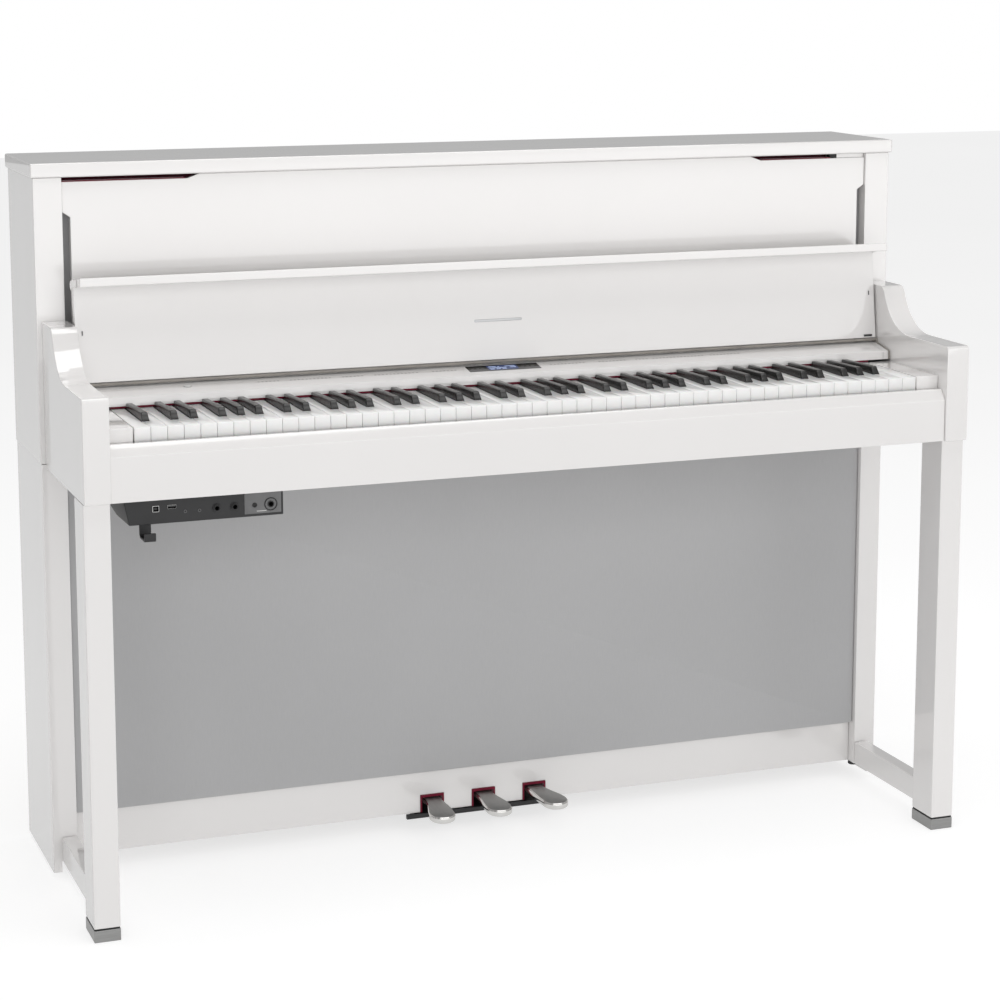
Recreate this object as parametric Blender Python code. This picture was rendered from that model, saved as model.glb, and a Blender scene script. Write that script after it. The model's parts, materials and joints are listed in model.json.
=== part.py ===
"""White console piano with eighty-eight keys, built as separate named pieces.

Metres, +Z up.  +X runs to the player's right, +Y away from the player.
The origin is on the floor, under the middle of the case.
"""

import math

import bmesh
import bpy
from mathutils import Matrix, Vector

# ---------------------------------------------------------------- driving sizes
GAP = 0.0003                     # air left between pieces that touch

# case
LID_HALF = 0.7010
LID_FRONT = 0.0314
LID_BOTTOM = 1.0570
HEIGHT = 1.0780
CASE_BACK = 0.2422
BOARD = 0.0180                   # thickness of a case board
EDGE = 0.0012                    # rounding of lacquered edges

UPPER_HALF = 0.6970
UPPER_STILE_INNER = 0.6550
UPPER_FRONT = 0.0360
PANEL_RECESS = 0.0045            # the upper front board lies this far behind its stiles
UPPER_BOTTOM = 0.6375
LOWER_HALF = 0.6955
LOWER_POST_INNER = 0.6585
LOWER_FRONT = 0.0355
LOWER_SKIRT = 0.0130             # the outer part of a lower side, which goes lower than the post
SKIRT_BOTTOM = 0.0110
STILE_DEPTH = 0.0220

# arms, legs and rails
CHEEK_INNER = 0.6520
CHEEK_OUTER = 0.6895
CHEEK_FRONT = -0.2440
CHEEK_BOTTOM = 0.6310
CHEEK_LOW_TOP = 0.7790
CHEEK_HIGH_TOP = 0.8480
LEG_FRONT = -0.2340
LEG_BACK = -0.1726
FOOT_HEIGHT = 0.0178
FOOT_NECK_TOP = 0.0195
RAIL_BOTTOM = 0.0280
RAIL_TOP = 0.0660
RAIL_THICKNESS = 0.0237

# keys
NATURAL_COUNT = 52
NATURAL_PITCH = 1.2250 / NATURAL_COUNT
NATURAL_SLIT = 0.0010
KEYS_LEFT = -NATURAL_COUNT * NATURAL_PITCH / 2
KEY_BLOCK_GAP = 0.0015           # between the outermost keys and the blocks beside them
KEY_FRONT = -0.2167
KEY_TOP = 0.7304
KEY_BOTTOM = 0.7090
SHARP_FRONT = -0.1715
SHARP_TOP_FRONT = -0.1630
SHARP_CAP_BACK = -0.0668
SHARP_FRONT_TOP = 0.7418
SHARP_BACK_TOP = 0.7385
SHARP_BASE = 0.0110
SHARP_CROWN = 0.0092
SHARP_SIDE_GAP = 0.0011
KEY_TAIL = 0.0500
KEY_PIVOT = (0.0100, 0.7120)     # Y and Z of the balance pin line
# boundary number inside an octave, and how far the sharp sits off that boundary
SHARP_OFFSETS = {1: -0.0023, 2: 0.0023, 4: -0.0032, 5: 0.0, 6: 0.0032}
FIRST_NATURAL_IN_OCTAVE = 5      # the lowest key is an A
FIRST_MOVING_NATURAL = 23        # middle C
MOVING_NATURALS = 7
NATURAL_NAMES = ("c", "d", "e", "f", "g", "a", "b")

# control panel and folding key cover
PANEL_HALF = 0.6485
PANEL_FRONT_LOW = (-0.0645, 0.7343)
PANEL_FRONT_HIGH = (-0.0636, 0.7462)
PANEL_TOP_FRONT = (-0.0605, 0.7480)
PANEL_TOP_BACK = (-0.0170, 0.7560)
PANEL_SKIN = 0.0030
COVER_HALF = 0.6500
COVER_LEAN = math.radians(7.6)
COVER_HINGE = (-0.0204, 0.7600)
COVER_LOW = 0.0030               # distance from the hinge line to the board's edge
COVER_LENGTH = 0.15435
COVER_THICKNESS = 0.0180
FLAP_REACH = 0.0500
FLAP_THICKNESS = 0.0128
COVER_ROD_RADIUS = 0.0022

# lower front
CLOTH_FRONT = 0.0440
CLOTH_THICKNESS = 0.0080
CLOTH_BOTTOM = 0.0975
KICK_FRONT = 0.0560
KICK_TOP = 0.0970
KEYBED_BOTTOM = 0.6310
KEYBED_TOP = 0.6490

# pedals
PEDAL_PITCH = 0.0870
PEDAL_PIVOT = (0.1200, 0.0430)
PEDAL_TIP = -0.0380
PEDAL_SPLAY = 0.0080             # how far the outer pedals' heads lean outwards
PEDAL_SLOT_HALF = 0.0200
PEDAL_SLOT_TOP = 0.0570

# sockets
JACK_FRONT = -0.2050
JACK_BOTTOM = 0.5900


# ---------------------------------------------------------------- building tools
def clear_scene():
    """Remove whatever objects the file holds."""
    for obj in list(bpy.data.objects):
        bpy.data.objects.remove(obj, do_unlink=True)


def make_material(name, colour, roughness, metallic=0.0):
    """A Principled BSDF material."""
    material = bpy.data.materials.new(name)
    material.use_nodes = True
    shader = material.node_tree.nodes["Principled BSDF"]
    shader.inputs["Base Color"].default_value = (*colour, 1.0)
    shader.inputs["Roughness"].default_value = roughness
    shader.inputs["Metallic"].default_value = metallic
    return material


def add_object(name, bm, material, pivot=(0.0, 0.0, 0.0)):
    """Turn a bmesh in world coordinates into an object whose origin is at pivot."""
    bmesh.ops.recalc_face_normals(bm, faces=bm.faces)
    bmesh.ops.translate(bm, verts=bm.verts, vec=-Vector(pivot))
    mesh = bpy.data.meshes.new(name)
    bm.to_mesh(mesh)
    bm.free()
    mesh.materials.append(material)
    obj = bpy.data.objects.new(name, mesh)
    obj.location = pivot
    bpy.context.scene.collection.objects.link(obj)
    return obj


def add_rings(bm, rings):
    """Close a tube of equal-length rings with a face at each end."""
    loops = [[bm.verts.new(point) for point in ring] for ring in rings]
    count = len(loops[0])
    for near, far in zip(loops, loops[1:]):
        for i in range(count):
            j = (i + 1) % count
            bm.faces.new((near[i], near[j], far[j], far[i]))
    bm.faces.new(loops[0])
    bm.faces.new(list(reversed(loops[-1])))


def loft(name, rings, material, pivot=(0.0, 0.0, 0.0)):
    """One closed body through a list of rings."""
    bm = bmesh.new()
    add_rings(bm, rings)
    return add_object(name, bm, material, pivot)


def place(axis, along, a, b):
    """A world point from a position along an axis and two outline coordinates."""
    if axis == "x":
        return (along, a, b)
    if axis == "y":
        return (a, along, b)
    return (a, b, along)


def prism(name, axis, outline, low, high, material, pivot=(0.0, 0.0, 0.0)):
    """Extrude an outline along an axis; outline pairs are the other two axes."""
    rings = [[place(axis, along, a, b) for a, b in outline] for along in (low, high)]
    return loft(name, rings, material, pivot)


def add_block(bm, low, high):
    """Add a rectangular block to a bmesh."""
    outline = [(low[0], low[1]), (high[0], low[1]), (high[0], high[1]), (low[0], high[1])]
    add_rings(bm, [[(x, y, z) for x, y in outline] for z in (low[2], high[2])])


def block(name, low, high, material, pivot=(0.0, 0.0, 0.0)):
    """A rectangular block between two corners."""
    bm = bmesh.new()
    add_block(bm, low, high)
    return add_object(name, bm, material, pivot)


def soften(obj, width=EDGE, segments=2, angle=30.0):
    """Round the edges of an object that are sharper than the angle."""
    modifier = obj.modifiers.new("soften", "BEVEL")
    modifier.width = width
    modifier.segments = segments
    modifier.limit_method = "ANGLE"
    modifier.angle_limit = math.radians(angle)
    return obj


def make_tool(obj):
    """Mark an object as a tool for Boolean modifiers."""
    obj.hide_render = True
    obj.display_type = "WIRE"
    return obj


def combine(obj, tool, operation="DIFFERENCE"):
    """Cut a tool out of an object, or join the tool to it."""
    modifier = obj.modifiers.new(operation.lower(), "BOOLEAN")
    modifier.operation = operation
    modifier.solver = "EXACT"
    modifier.object = make_tool(tool)


def arc(centre, radius, start, end, steps):
    """Points along an arc, angles in degrees, both ends included."""
    points = []
    for i in range(steps + 1):
        angle = math.radians(start + (end - start) * i / steps)
        points.append((centre[0] + radius * math.cos(angle), centre[1] + radius * math.sin(angle)))
    return points


def circle_ring(axis, centre, radius, along, count):
    """A ring of points round an axis."""
    step = 360.0 / count
    points = arc(centre, radius, 0.0, 360.0 - step, count - 1)
    return [place(axis, along, a, b) for a, b in points]


def shade_round(obj, angle=35.0):
    """Smooth shading with sharp corners kept."""
    obj.data.shade_smooth()
    obj.data.set_sharp_from_angle(angle=math.radians(angle))
    return obj


def mirrored(points):
    """The same outline on the other side of X = 0."""
    return [(-x, y) for x, y in points]


# ---------------------------------------------------------------- case
def make_upper_sides(material):
    """Two tall side boards, each with its front stile in one L-shaped section."""
    outline = [
        (UPPER_HALF, UPPER_FRONT),
        (UPPER_HALF, CASE_BACK),
        (UPPER_HALF - BOARD, CASE_BACK),
        (UPPER_HALF - BOARD, UPPER_FRONT + STILE_DEPTH),
        (UPPER_STILE_INNER, UPPER_FRONT + STILE_DEPTH),
        (UPPER_STILE_INNER, UPPER_FRONT),
    ]
    top = LID_BOTTOM - GAP
    soften(prism("upper_side_right", "z", outline, UPPER_BOTTOM, top, material))
    soften(prism("upper_side_left", "z", mirrored(outline), UPPER_BOTTOM, top, material))


def make_lower_sides(material):
    """The lower side boards with their front posts; a block at the back stands on the floor."""
    outline = [
        (LOWER_HALF, LOWER_FRONT),
        (LOWER_HALF, CASE_BACK),
        (LOWER_HALF - BOARD, CASE_BACK),
        (LOWER_HALF - BOARD, LOWER_FRONT + STILE_DEPTH),
        (LOWER_POST_INNER, LOWER_FRONT + STILE_DEPTH),
        (LOWER_POST_INNER, LOWER_FRONT),
    ]
    top = UPPER_BOTTOM - 0.0006
    skirt = LOWER_HALF - LOWER_SKIRT
    for name, side in (("lower_side_right", 1), ("lower_side_left", -1)):
        section = outline if side > 0 else mirrored(outline)
        board = soften(prism(name, "z", section, 0.0, top, material))
        low_x, high_x = sorted((side * (LOWER_POST_INNER - 0.0100), side * skirt))
        low = (low_x, LOWER_FRONT - 0.0100, -0.0100)
        high = (high_x, CASE_BACK + 0.0100, RAIL_BOTTOM)
        combine(board, block(name + "_undercut", low, high, material))
        low_x, high_x = sorted((side * (skirt - 0.0100), side * (LOWER_HALF + 0.0100)))
        low = (low_x, LOWER_FRONT - 0.0100, -0.0100)
        high = (high_x, CASE_BACK + 0.0100, SKIRT_BOTTOM)
        combine(board, block(name + "_lift", low, high, material))
        low_x, high_x = sorted((side * (skirt - 0.0120), side * (skirt + 0.0020)))
        foot = block(name + "_foot", (low_x, 0.1950, 0.0), (high_x, 0.2250, RAIL_BOTTOM + 0.0050),
                     material)
        combine(board, foot, "UNION")


def make_top_lid(material):
    """The lid, with a notch along its lower back edge for the hinge knuckle."""
    lid = block("top_lid", (-LID_HALF, LID_FRONT, LID_BOTTOM), (LID_HALF, CASE_BACK, HEIGHT),
                material, (0.0, CASE_BACK, LID_BOTTOM))
    soften(lid, 0.0025, 3)
    notch_low = (-0.6020, CASE_BACK - 0.0022, LID_BOTTOM - 0.0100)
    notch_high = (0.6020, CASE_BACK + 0.0200, LID_BOTTOM + 0.0024)
    combine(lid, block("lid_hinge_notch", notch_low, notch_high, material))


def make_lid_hinge(material):
    """The long knuckle of the lid's piano hinge."""
    centre = (CASE_BACK, LID_BOTTOM)
    rings = [circle_ring("x", centre, 0.0018, x, 12) for x in (-0.6000, 0.6000)]
    shade_round(loft("lid_hinge", rings, material))


def make_upper_front_panel(material):
    """The upper front board, with sound slots at its sides and scoops under the lid."""
    slot_edge = 0.6430
    slot_top = 1.0060
    slot_slope = 0.0080
    scoop_inner = 0.4500
    scoop_slope = 0.0180
    scoop_bottom = 1.0500
    top = LID_BOTTOM - 2 * GAP
    side = UPPER_STILE_INNER - GAP
    right = [
        (slot_edge, 0.7450),
        (slot_edge, slot_top - slot_slope),
        (side, slot_top),
        (side, scoop_bottom),
        (scoop_inner + scoop_slope, scoop_bottom),
        (scoop_inner, top),
    ]
    outline = right + list(reversed(mirrored(right)))
    front = UPPER_FRONT + PANEL_RECESS
    soften(prism("upper_front_panel", "y", outline, front, front + 0.0150, material))


def make_back_panel(material, inlet_low, inlet_high):
    """The back board, with a cut-out for the mains inlet."""
    panel = block("back_panel", (-0.6770, 0.2300, 0.0300), (0.6770, 0.2360, 1.0500), material)
    low = (inlet_low[0] - GAP, 0.2200, inlet_low[2] - GAP)
    high = (inlet_high[0] + GAP, 0.2500, inlet_high[2] + GAP)
    combine(panel, block("back_panel_cutout", low, high, material))


def make_power_inlet(material, low, high):
    """A two-pin mains inlet that faces the wall."""
    inlet = block("power_inlet", low, high, material)
    middle = ((low[0] + high[0]) / 2, (low[2] + high[2]) / 2)
    socket_low = (middle[0] - 0.0095, high[1] - 0.0140, middle[1] - 0.0045)
    socket_high = (middle[0] + 0.0095, high[1] + 0.0100, middle[1] + 0.0045)
    combine(inlet, block("power_inlet_socket", socket_low, socket_high, material))


# ---------------------------------------------------------------- arms and legs
def cheek_outline():
    """Side outline of an arm in Y and Z."""
    sweep_centre = (-0.1250, CHEEK_LOW_TOP + 0.0895)
    sweep_radius = 0.0895
    sweep_end = -19.7
    corner = 0.0050
    points = [(LOWER_FRONT - GAP, CHEEK_BOTTOM), (CHEEK_FRONT + 0.0015, CHEEK_BOTTOM)]
    points += [(CHEEK_FRONT, CHEEK_BOTTOM + 0.0015)]
    points += arc((CHEEK_FRONT + corner, CHEEK_LOW_TOP - corner), corner, 180.0, 90.0, 5)
    points += arc(sweep_centre, sweep_radius, -90.0, sweep_end, 12)
    last = points[-1]
    high = (-0.0280, CHEEK_HIGH_TOP)
    points += arc((high[0], high[1] - 0.0110), 0.0110, 152.0, 90.0, 4)
    if points[-5][0] < last[0]:
        points.remove(last)
    points += [(LOWER_FRONT - GAP, CHEEK_HIGH_TOP)]
    return points


def make_cheeks(material):
    """The two arms beside the keys."""
    outline = cheek_outline()
    for name, side in (("cheek_left", -1), ("cheek_right", 1)):
        low, high = sorted((side * CHEEK_INNER, side * CHEEK_OUTER))
        soften(prism(name, "x", outline, low, high, material), 0.0012, 2, 40.0)


def make_legs(lacquer, metal):
    """Front legs, their metal shoes and the rails along the floor."""
    inner = 0.6516
    outer = 0.6897
    for name, side in (("left", -1), ("right", 1)):
        low_x, high_x = sorted((side * inner, side * outer))
        leg = block("front_leg_" + name, (low_x, LEG_FRONT, FOOT_NECK_TOP + GAP),
                    (high_x, LEG_BACK, CHEEK_BOTTOM - GAP), lacquer)
        soften(leg, 0.0020)
        make_foot_cap("foot_cap_" + name, low_x, high_x, metal)
        rail_low, rail_high = sorted((side * LOWER_POST_INNER, side * (LOWER_POST_INNER + RAIL_THICKNESS)))
        rail = block("base_rail_" + name, (rail_low, LEG_BACK + GAP, RAIL_BOTTOM),
                     (rail_high, LOWER_FRONT - GAP, RAIL_TOP), lacquer)
        soften(rail, 0.0020)


def make_foot_cap(name, low_x, high_x, metal):
    """A metal shoe with a narrower neck that carries the leg."""
    neck = 0.0030
    cap = block(name, (low_x, LEG_FRONT, 0.0), (high_x, LEG_BACK, FOOT_HEIGHT), metal)
    soften(cap, 0.0010)
    tool = block(name + "_neck", (low_x + neck, LEG_FRONT + neck, FOOT_HEIGHT - 0.0030),
                 (high_x - neck, LEG_BACK - neck, FOOT_NECK_TOP), metal)
    combine(cap, tool, "UNION")


# ---------------------------------------------------------------- key bed
def make_keybed(lacquer):
    """The board that the action stands on, its front slip and the end blocks."""
    slip_back = -0.2220
    slip_front = -0.2400
    half = CHEEK_INNER - GAP
    outline = [
        (slip_back, KEYBED_BOTTOM),
        (slip_front, KEYBED_BOTTOM),
        (slip_front, 0.6956),
        (-0.2285, 0.7110),
        (slip_back, 0.7110),
    ]
    soften(prism("keyslip", "x", outline, -half, half, lacquer), 0.0008)
    soften(block("keybed", (-half, slip_back + GAP, KEYBED_BOTTOM), (half, 0.2250, KEYBED_TOP),
                 lacquer), 0.0008)
    block_inner = KEY_BLOCK_GAP - KEYS_LEFT
    for name, side in (("key_block_left", -1), ("key_block_right", 1)):
        low_x, high_x = sorted((side * block_inner, side * half))
        end_block = block(name, (low_x, KEY_FRONT, KEYBED_TOP + GAP),
                          (high_x, -0.0660, KEY_TOP + 0.0006), lacquer)
        soften(end_block, 0.0010)


def make_key_frame(material):
    """The pressed tray with a front guide rail and a balance rail."""
    base = KEYBED_TOP + GAP
    outline = [
        (-0.2000, base),
        (0.0600, base),
        (0.0600, base + 0.0040),
        (0.0200, base + 0.0040),
        (0.0200, 0.7076),
        (0.0000, 0.7076),
        (0.0000, base + 0.0040),
        (-0.1600, base + 0.0040),
        (-0.1600, 0.6900),
        (-0.2000, 0.6900),
    ]
    prism("key_frame", "x", outline, -0.6110, 0.6110, material)


def make_main_board(material):
    """The circuit board behind the action, with its heat sink and transformer."""
    low_z = KEYBED_TOP + 0.0040
    board = block("main_board", (-0.2200, 0.0800, low_z), (0.2200, 0.2000, low_z + 0.0016), material)
    blocks = (
        ("board_heat_sink", (-0.1900, 0.1000), (-0.1100, 0.1300), 0.0300),
        ("board_transformer", (0.1200, 0.1200), (0.1800, 0.1700), 0.0400),
        ("board_processor", (-0.0200, 0.1200), (0.0200, 0.1600), 0.0060),
    )
    for name, low, high, tall in blocks:
        tool = block(name, (*low, low_z + 0.0005), (*high, low_z + tall), material)
        combine(board, tool, "UNION")


# ---------------------------------------------------------------- keys
def natural_left(index):
    """X of the left boundary of a natural."""
    return KEYS_LEFT + index * NATURAL_PITCH


def sharp_at(boundary):
    """X of the sharp over a natural boundary, or None where there is no sharp."""
    if boundary <= 0 or boundary >= NATURAL_COUNT:
        return None
    place_in_octave = (boundary + FIRST_NATURAL_IN_OCTAVE) % 7
    if place_in_octave not in SHARP_OFFSETS:
        return None
    return natural_left(boundary) + SHARP_OFFSETS[place_in_octave]


def natural_outline(index, back):
    """Plan outline of a natural, notched where the neighbouring sharps stand."""
    left = natural_left(index) + NATURAL_SLIT / 2
    right = natural_left(index + 1) - NATURAL_SLIT / 2
    notch = SHARP_FRONT - 0.0012
    reach = SHARP_BASE / 2 + SHARP_SIDE_GAP
    outline = [(left, KEY_FRONT), (right, KEY_FRONT)]
    right_sharp = sharp_at(index + 1)
    if right_sharp is None:
        outline += [(right, back)]
    else:
        outline += [(right, notch), (right_sharp - reach, notch), (right_sharp - reach, back)]
    left_sharp = sharp_at(index)
    if left_sharp is None:
        outline += [(left, back)]
    else:
        outline += [(left_sharp + reach, back), (left_sharp + reach, notch), (left, notch)]
    return outline


def add_natural(bm, index, back):
    """Add one natural key to a bmesh."""
    outline = natural_outline(index, back)
    add_rings(bm, [[(x, y, z) for x, y in outline] for z in (KEY_BOTTOM, KEY_TOP)])


def add_sharp(bm, x, tail, tail_bottom):
    """Add one sharp: a stick, and a cap that narrows towards its top."""
    stick_top = KEY_TOP - 0.0002
    half = SHARP_BASE / 2
    crown = SHARP_CROWN / 2
    stick = [(SHARP_FRONT, KEY_BOTTOM), (SHARP_FRONT, stick_top), (SHARP_CAP_BACK, stick_top),
             (tail, stick_top), (tail, tail_bottom)]
    if tail_bottom > KEY_BOTTOM:
        stick += [(-0.0570, tail_bottom), (-0.0570, KEY_BOTTOM)]
    top = [(SHARP_TOP_FRONT, SHARP_FRONT_TOP), (SHARP_CAP_BACK, SHARP_BACK_TOP)]
    sides = []
    for sign in (-1, 1):
        low = [bm.verts.new((x + sign * half, y, z)) for y, z in stick]
        high = [bm.verts.new((x + sign * crown, y, z)) for y, z in top]
        bm.faces.new(low)
        bm.faces.new((low[1], high[0], high[1], low[2]))
        sides.append((low, high))
    (left, left_top), (right, right_top) = sides
    count = len(stick)
    for i in range(count):
        j = (i + 1) % count
        if (i, j) != (1, 2):
            bm.faces.new((left[i], left[j], right[j], right[i]))
    bm.faces.new((left[1], left_top[0], right_top[0], right[1]))
    bm.faces.new((left_top[0], left_top[1], right_top[1], right_top[0]))
    bm.faces.new((left_top[1], left[2], right[2], right_top[1]))


def make_moving_keys(ivory, ebony):
    """The middle octave, each key on its own balance pin."""
    first = FIRST_MOVING_NATURAL
    for step in range(MOVING_NATURALS):
        index = first + step
        middle = natural_left(index) + NATURAL_PITCH / 2
        bm = bmesh.new()
        add_natural(bm, index, KEY_TAIL)
        key = add_object("key_" + NATURAL_NAMES[step], bm, ivory, (middle, *KEY_PIVOT))
        soften(key, 0.0005, 1)
    for step in range(MOVING_NATURALS - 1):
        x = sharp_at(first + step + 1)
        if x is not None:
            bm = bmesh.new()
            add_sharp(bm, x, KEY_TAIL, KEY_BOTTOM)
            name = "key_" + NATURAL_NAMES[step] + "_sharp"
            soften(add_object(name, bm, ebony, (x, *KEY_PIVOT)), 0.0006, 1)


def make_natural_set(name, first, count, material):
    """A run of naturals joined by a strip under their hidden tails."""
    bm = bmesh.new()
    for index in range(first, first + count):
        add_natural(bm, index, -0.0480)
    keys = add_object(name + "_fingers", bm, material)
    low = (natural_left(first) + 0.0030, -0.0520, KEY_BOTTOM + 0.0002)
    high = (natural_left(first + count) - 0.0030, -0.0400, KEY_BOTTOM + 0.0090)
    combine(block(name, low, high, material), keys, "UNION")


def make_sharp_set(name, first, last, material):
    """A run of sharps joined by a strip behind them."""
    strip_bottom = KEY_BOTTOM + 0.0100
    places = [sharp_at(boundary) for boundary in range(first, last + 1)]
    places = [x for x in places if x is not None]
    bm = bmesh.new()
    for x in places:
        add_sharp(bm, x, -0.0280, strip_bottom)
    keys = add_object(name + "_fingers", bm, material)
    low = (places[0] - 0.0030, -0.0300, strip_bottom + 0.0002)
    high = (places[-1] + 0.0030, -0.0100, KEY_TOP - 0.0005)
    combine(block(name, low, high, material), keys, "UNION")


# ---------------------------------------------------------------- control panel
def panel_point(y, height=0.0):
    """A point on the sloping top of the control panel, raised by a height."""
    rise = PANEL_TOP_BACK[1] - PANEL_TOP_FRONT[1]
    run = PANEL_TOP_BACK[0] - PANEL_TOP_FRONT[0]
    z = PANEL_TOP_FRONT[1] + (y - PANEL_TOP_FRONT[0]) * rise / run
    length = math.hypot(rise, run)
    return (y - height * rise / length, z + height * run / length)


def panel_box(name, x_low, x_high, y_low, y_high, low, high, material):
    """A block lying in the panel's slope, between two heights above its top."""
    outline = [panel_point(y_low, low), panel_point(y_high, low),
               panel_point(y_high, high), panel_point(y_low, high)]
    return prism(name, "x", outline, x_low, x_high, material)


def tilted_disc(x, y, radius, low, high, count=24):
    """Rings of a round peg that stands square to the panel's slope."""
    slope = math.atan2(PANEL_TOP_BACK[1] - PANEL_TOP_FRONT[1],
                       PANEL_TOP_BACK[0] - PANEL_TOP_FRONT[0])
    rings = []
    for height in (low, high):
        centre = panel_point(y, height)
        ring = []
        for a, b in arc((0.0, 0.0), radius, 0.0, 360.0 - 360.0 / count, count - 1):
            ring.append((x + a, centre[0] + b * math.cos(slope), centre[1] + b * math.sin(slope)))
        rings.append(ring)
    return rings


def make_control_panel(lacquer, glass, plastic):
    """The folded panel skin, its display window and the round power button."""
    shelf_top = 0.7470
    shelf_bottom = 0.7445
    outline = [
        PANEL_FRONT_LOW,
        PANEL_FRONT_HIGH,
        (-0.0626, 0.7475),
        PANEL_TOP_FRONT,
        PANEL_TOP_BACK,
        (-0.0150, 0.7545),
        (-0.0150, shelf_top),
        (UPPER_FRONT + PANEL_RECESS - GAP, shelf_top),
        (UPPER_FRONT + PANEL_RECESS - GAP, shelf_bottom),
        (-0.0180, shelf_bottom),
        panel_point(-0.0195, -PANEL_SKIN),
        panel_point(-0.0580, -PANEL_SKIN),
        (-0.0600, PANEL_FRONT_LOW[1]),
    ]
    panel = prism("control_panel", "x", outline, -PANEL_HALF, PANEL_HALF, lacquer)
    half = 0.0580
    y_low = -0.0470
    y_high = -0.0225
    pocket = panel_box("display_pocket", -half - GAP, half + GAP, y_low - GAP, y_high + GAP,
                       -0.0016, 0.0050, lacquer)
    combine(panel, pocket)
    panel_box("display_window", -half, half, y_low, y_high, -0.0013, 0.0002, glass)
    button_x = -0.4926
    button_y = -0.0353
    hole = loft("power_button_hole", tilted_disc(button_x, button_y, 0.0053, -0.0080, 0.0050), lacquer)
    combine(panel, hole)
    pivot = (button_x, *panel_point(button_y))
    button = loft("power_button", tilted_disc(button_x, button_y, 0.0050, -0.0045, 0.0010),
                  plastic, pivot)
    shade_round(soften(button, 0.0004, 2, 60.0))


def make_nameboard_felt(material):
    """The red felt strip between the keys and the panel."""
    block("nameboard_felt", (-0.6130, -0.0640, KEY_TOP + 0.0006), (0.6130, -0.0550, 0.7340), material)


# ---------------------------------------------------------------- key cover
def cover_point(along, back):
    """Y and Z of a point on the open cover, measured up its face and back from it."""
    sine = math.sin(COVER_LEAN)
    cosine = math.cos(COVER_LEAN)
    y = COVER_HINGE[0] + along * sine + back * cosine
    z = COVER_HINGE[1] + along * cosine - back * sine
    return (y, z)


def make_cover(lacquer):
    """The cover board with a half-round end, and the flap that folds round that end."""
    radius = COVER_THICKNESS / 2
    turn = (COVER_LENGTH - radius, radius)
    face = [(COVER_LOW, COVER_THICKNESS), (COVER_LOW, 0.0)]
    nose = arc(turn, radius, -90.0, 90.0, 10)
    outline = [cover_point(along, back) for along, back in face + nose]
    board = prism("fallboard", "x", outline, -COVER_HALF, COVER_HALF, lacquer,
                  (0.0, *COVER_HINGE))
    soften(board, 0.0010, 2, 40.0)
    low = COVER_LENGTH - FLAP_THICKNESS
    near = -0.0005
    far = -FLAP_REACH - 0.0005
    corners = [(low, near), (COVER_LENGTH, near), (COVER_LENGTH, far), (low, far)]
    flap_outline = [cover_point(along, back) for along, back in corners]
    flap = prism("fallboard_flap", "x", flap_outline, -COVER_HALF, COVER_HALF, lacquer,
                 (0.0, *cover_point(*turn)))
    soften(flap, 0.0015, 3)


def make_flap_hinges(metal):
    """A thin arm at each end that carries the flap round the board's end."""
    radius = COVER_THICKNESS / 2
    turn = (COVER_LENGTH - radius, radius)
    arm = [(turn[0] - 0.0020, -0.0300), (turn[0] + 0.0070, -0.0300)]
    arm += arc(turn, 0.0070, 0.0, 180.0, 8)
    arm += [(turn[0] - 0.0050, 0.0000)]
    outline = [cover_point(along, back) for along, back in arm]
    pivot_y, pivot_z = cover_point(*turn)
    for name, side in (("flap_hinge_left", -1), ("flap_hinge_right", 1)):
        low, high = sorted((side * (COVER_HALF + GAP), side * (COVER_HALF + 0.0014)))
        prism(name, "x", outline, low, high, metal, (side * COVER_HALF, pivot_y, pivot_z))


def make_cover_hinge(metal):
    """The hinge rod of the cover with the bracket plate at each of its ends."""
    rings = [circle_ring("x", COVER_HINGE, COVER_ROD_RADIUS, x, 12) for x in (-0.6500, 0.6500)]
    rod = shade_round(loft("fallboard_hinge", rings, metal))
    collar = arc(COVER_HINGE, 0.0026, 20.0, 160.0, 6)
    outline = [(-0.0650, 0.7345), (-0.0100, 0.7345), (-0.0100, 0.7560), (-0.0170, 0.7580)]
    outline += collar
    outline += [(-0.0250, 0.7555), (-0.0600, 0.7487), (-0.0636, 0.7468)]
    for name, side in (("bracket_tool_left", -1), ("bracket_tool_right", 1)):
        low, high = sorted((side * (PANEL_HALF + GAP), side * (CHEEK_INNER - GAP)))
        combine(rod, prism(name, "x", outline, low, high, metal), "UNION")


# ---------------------------------------------------------------- lower front
def make_speakers(cloth, board, cone):
    """The cloth panel, the baffle behind it and two woofers."""
    half = LOWER_POST_INNER - 2 * GAP
    top = KEYBED_BOTTOM - GAP
    block("speaker_cloth_panel", (-half, CLOTH_FRONT, CLOTH_BOTTOM),
          (half, CLOTH_FRONT + CLOTH_THICKNESS, top), cloth)
    baffle_front = CLOTH_FRONT + CLOTH_THICKNESS + GAP
    baffle_back = baffle_front + 0.0150
    baffle = block("speaker_baffle", (-half, baffle_front, 0.1010), (half, baffle_back, top), board)
    centre_z = 0.3600
    for name, x in (("left", -0.4200), ("right", 0.4200)):
        tool_rings = [circle_ring("y", (x, centre_z), 0.0720, y, 32)
                      for y in (baffle_front - 0.0100, baffle_back + 0.0100)]
        combine(baffle, loft("baffle_hole_" + name, tool_rings, board))
        make_woofer("woofer_" + name, (x, centre_z), baffle_back + GAP, cone)


def make_woofer(name, centre, front, material):
    """A loudspeaker turned about its axis, cone side to the front."""
    profile = [(0.0120, 0.0230), (0.0220, 0.0260), (0.0640, 0.0040), (0.0700, 0.0010),
               (0.0760, 0.0000), (0.0850, 0.0000), (0.0850, 0.0040), (0.0740, 0.0060),
               (0.0480, 0.0380), (0.0480, 0.0620), (0.0120, 0.0620)]
    rings = [circle_ring("y", centre, radius, front + back, 24) for radius, back in profile]
    shade_round(loft(name, rings, material))


def pedal_slots():
    """X of the three pedals."""
    return ((-PEDAL_PITCH, "soft"), (0.0, "sostenuto"), (PEDAL_PITCH, "damper"))


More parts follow.
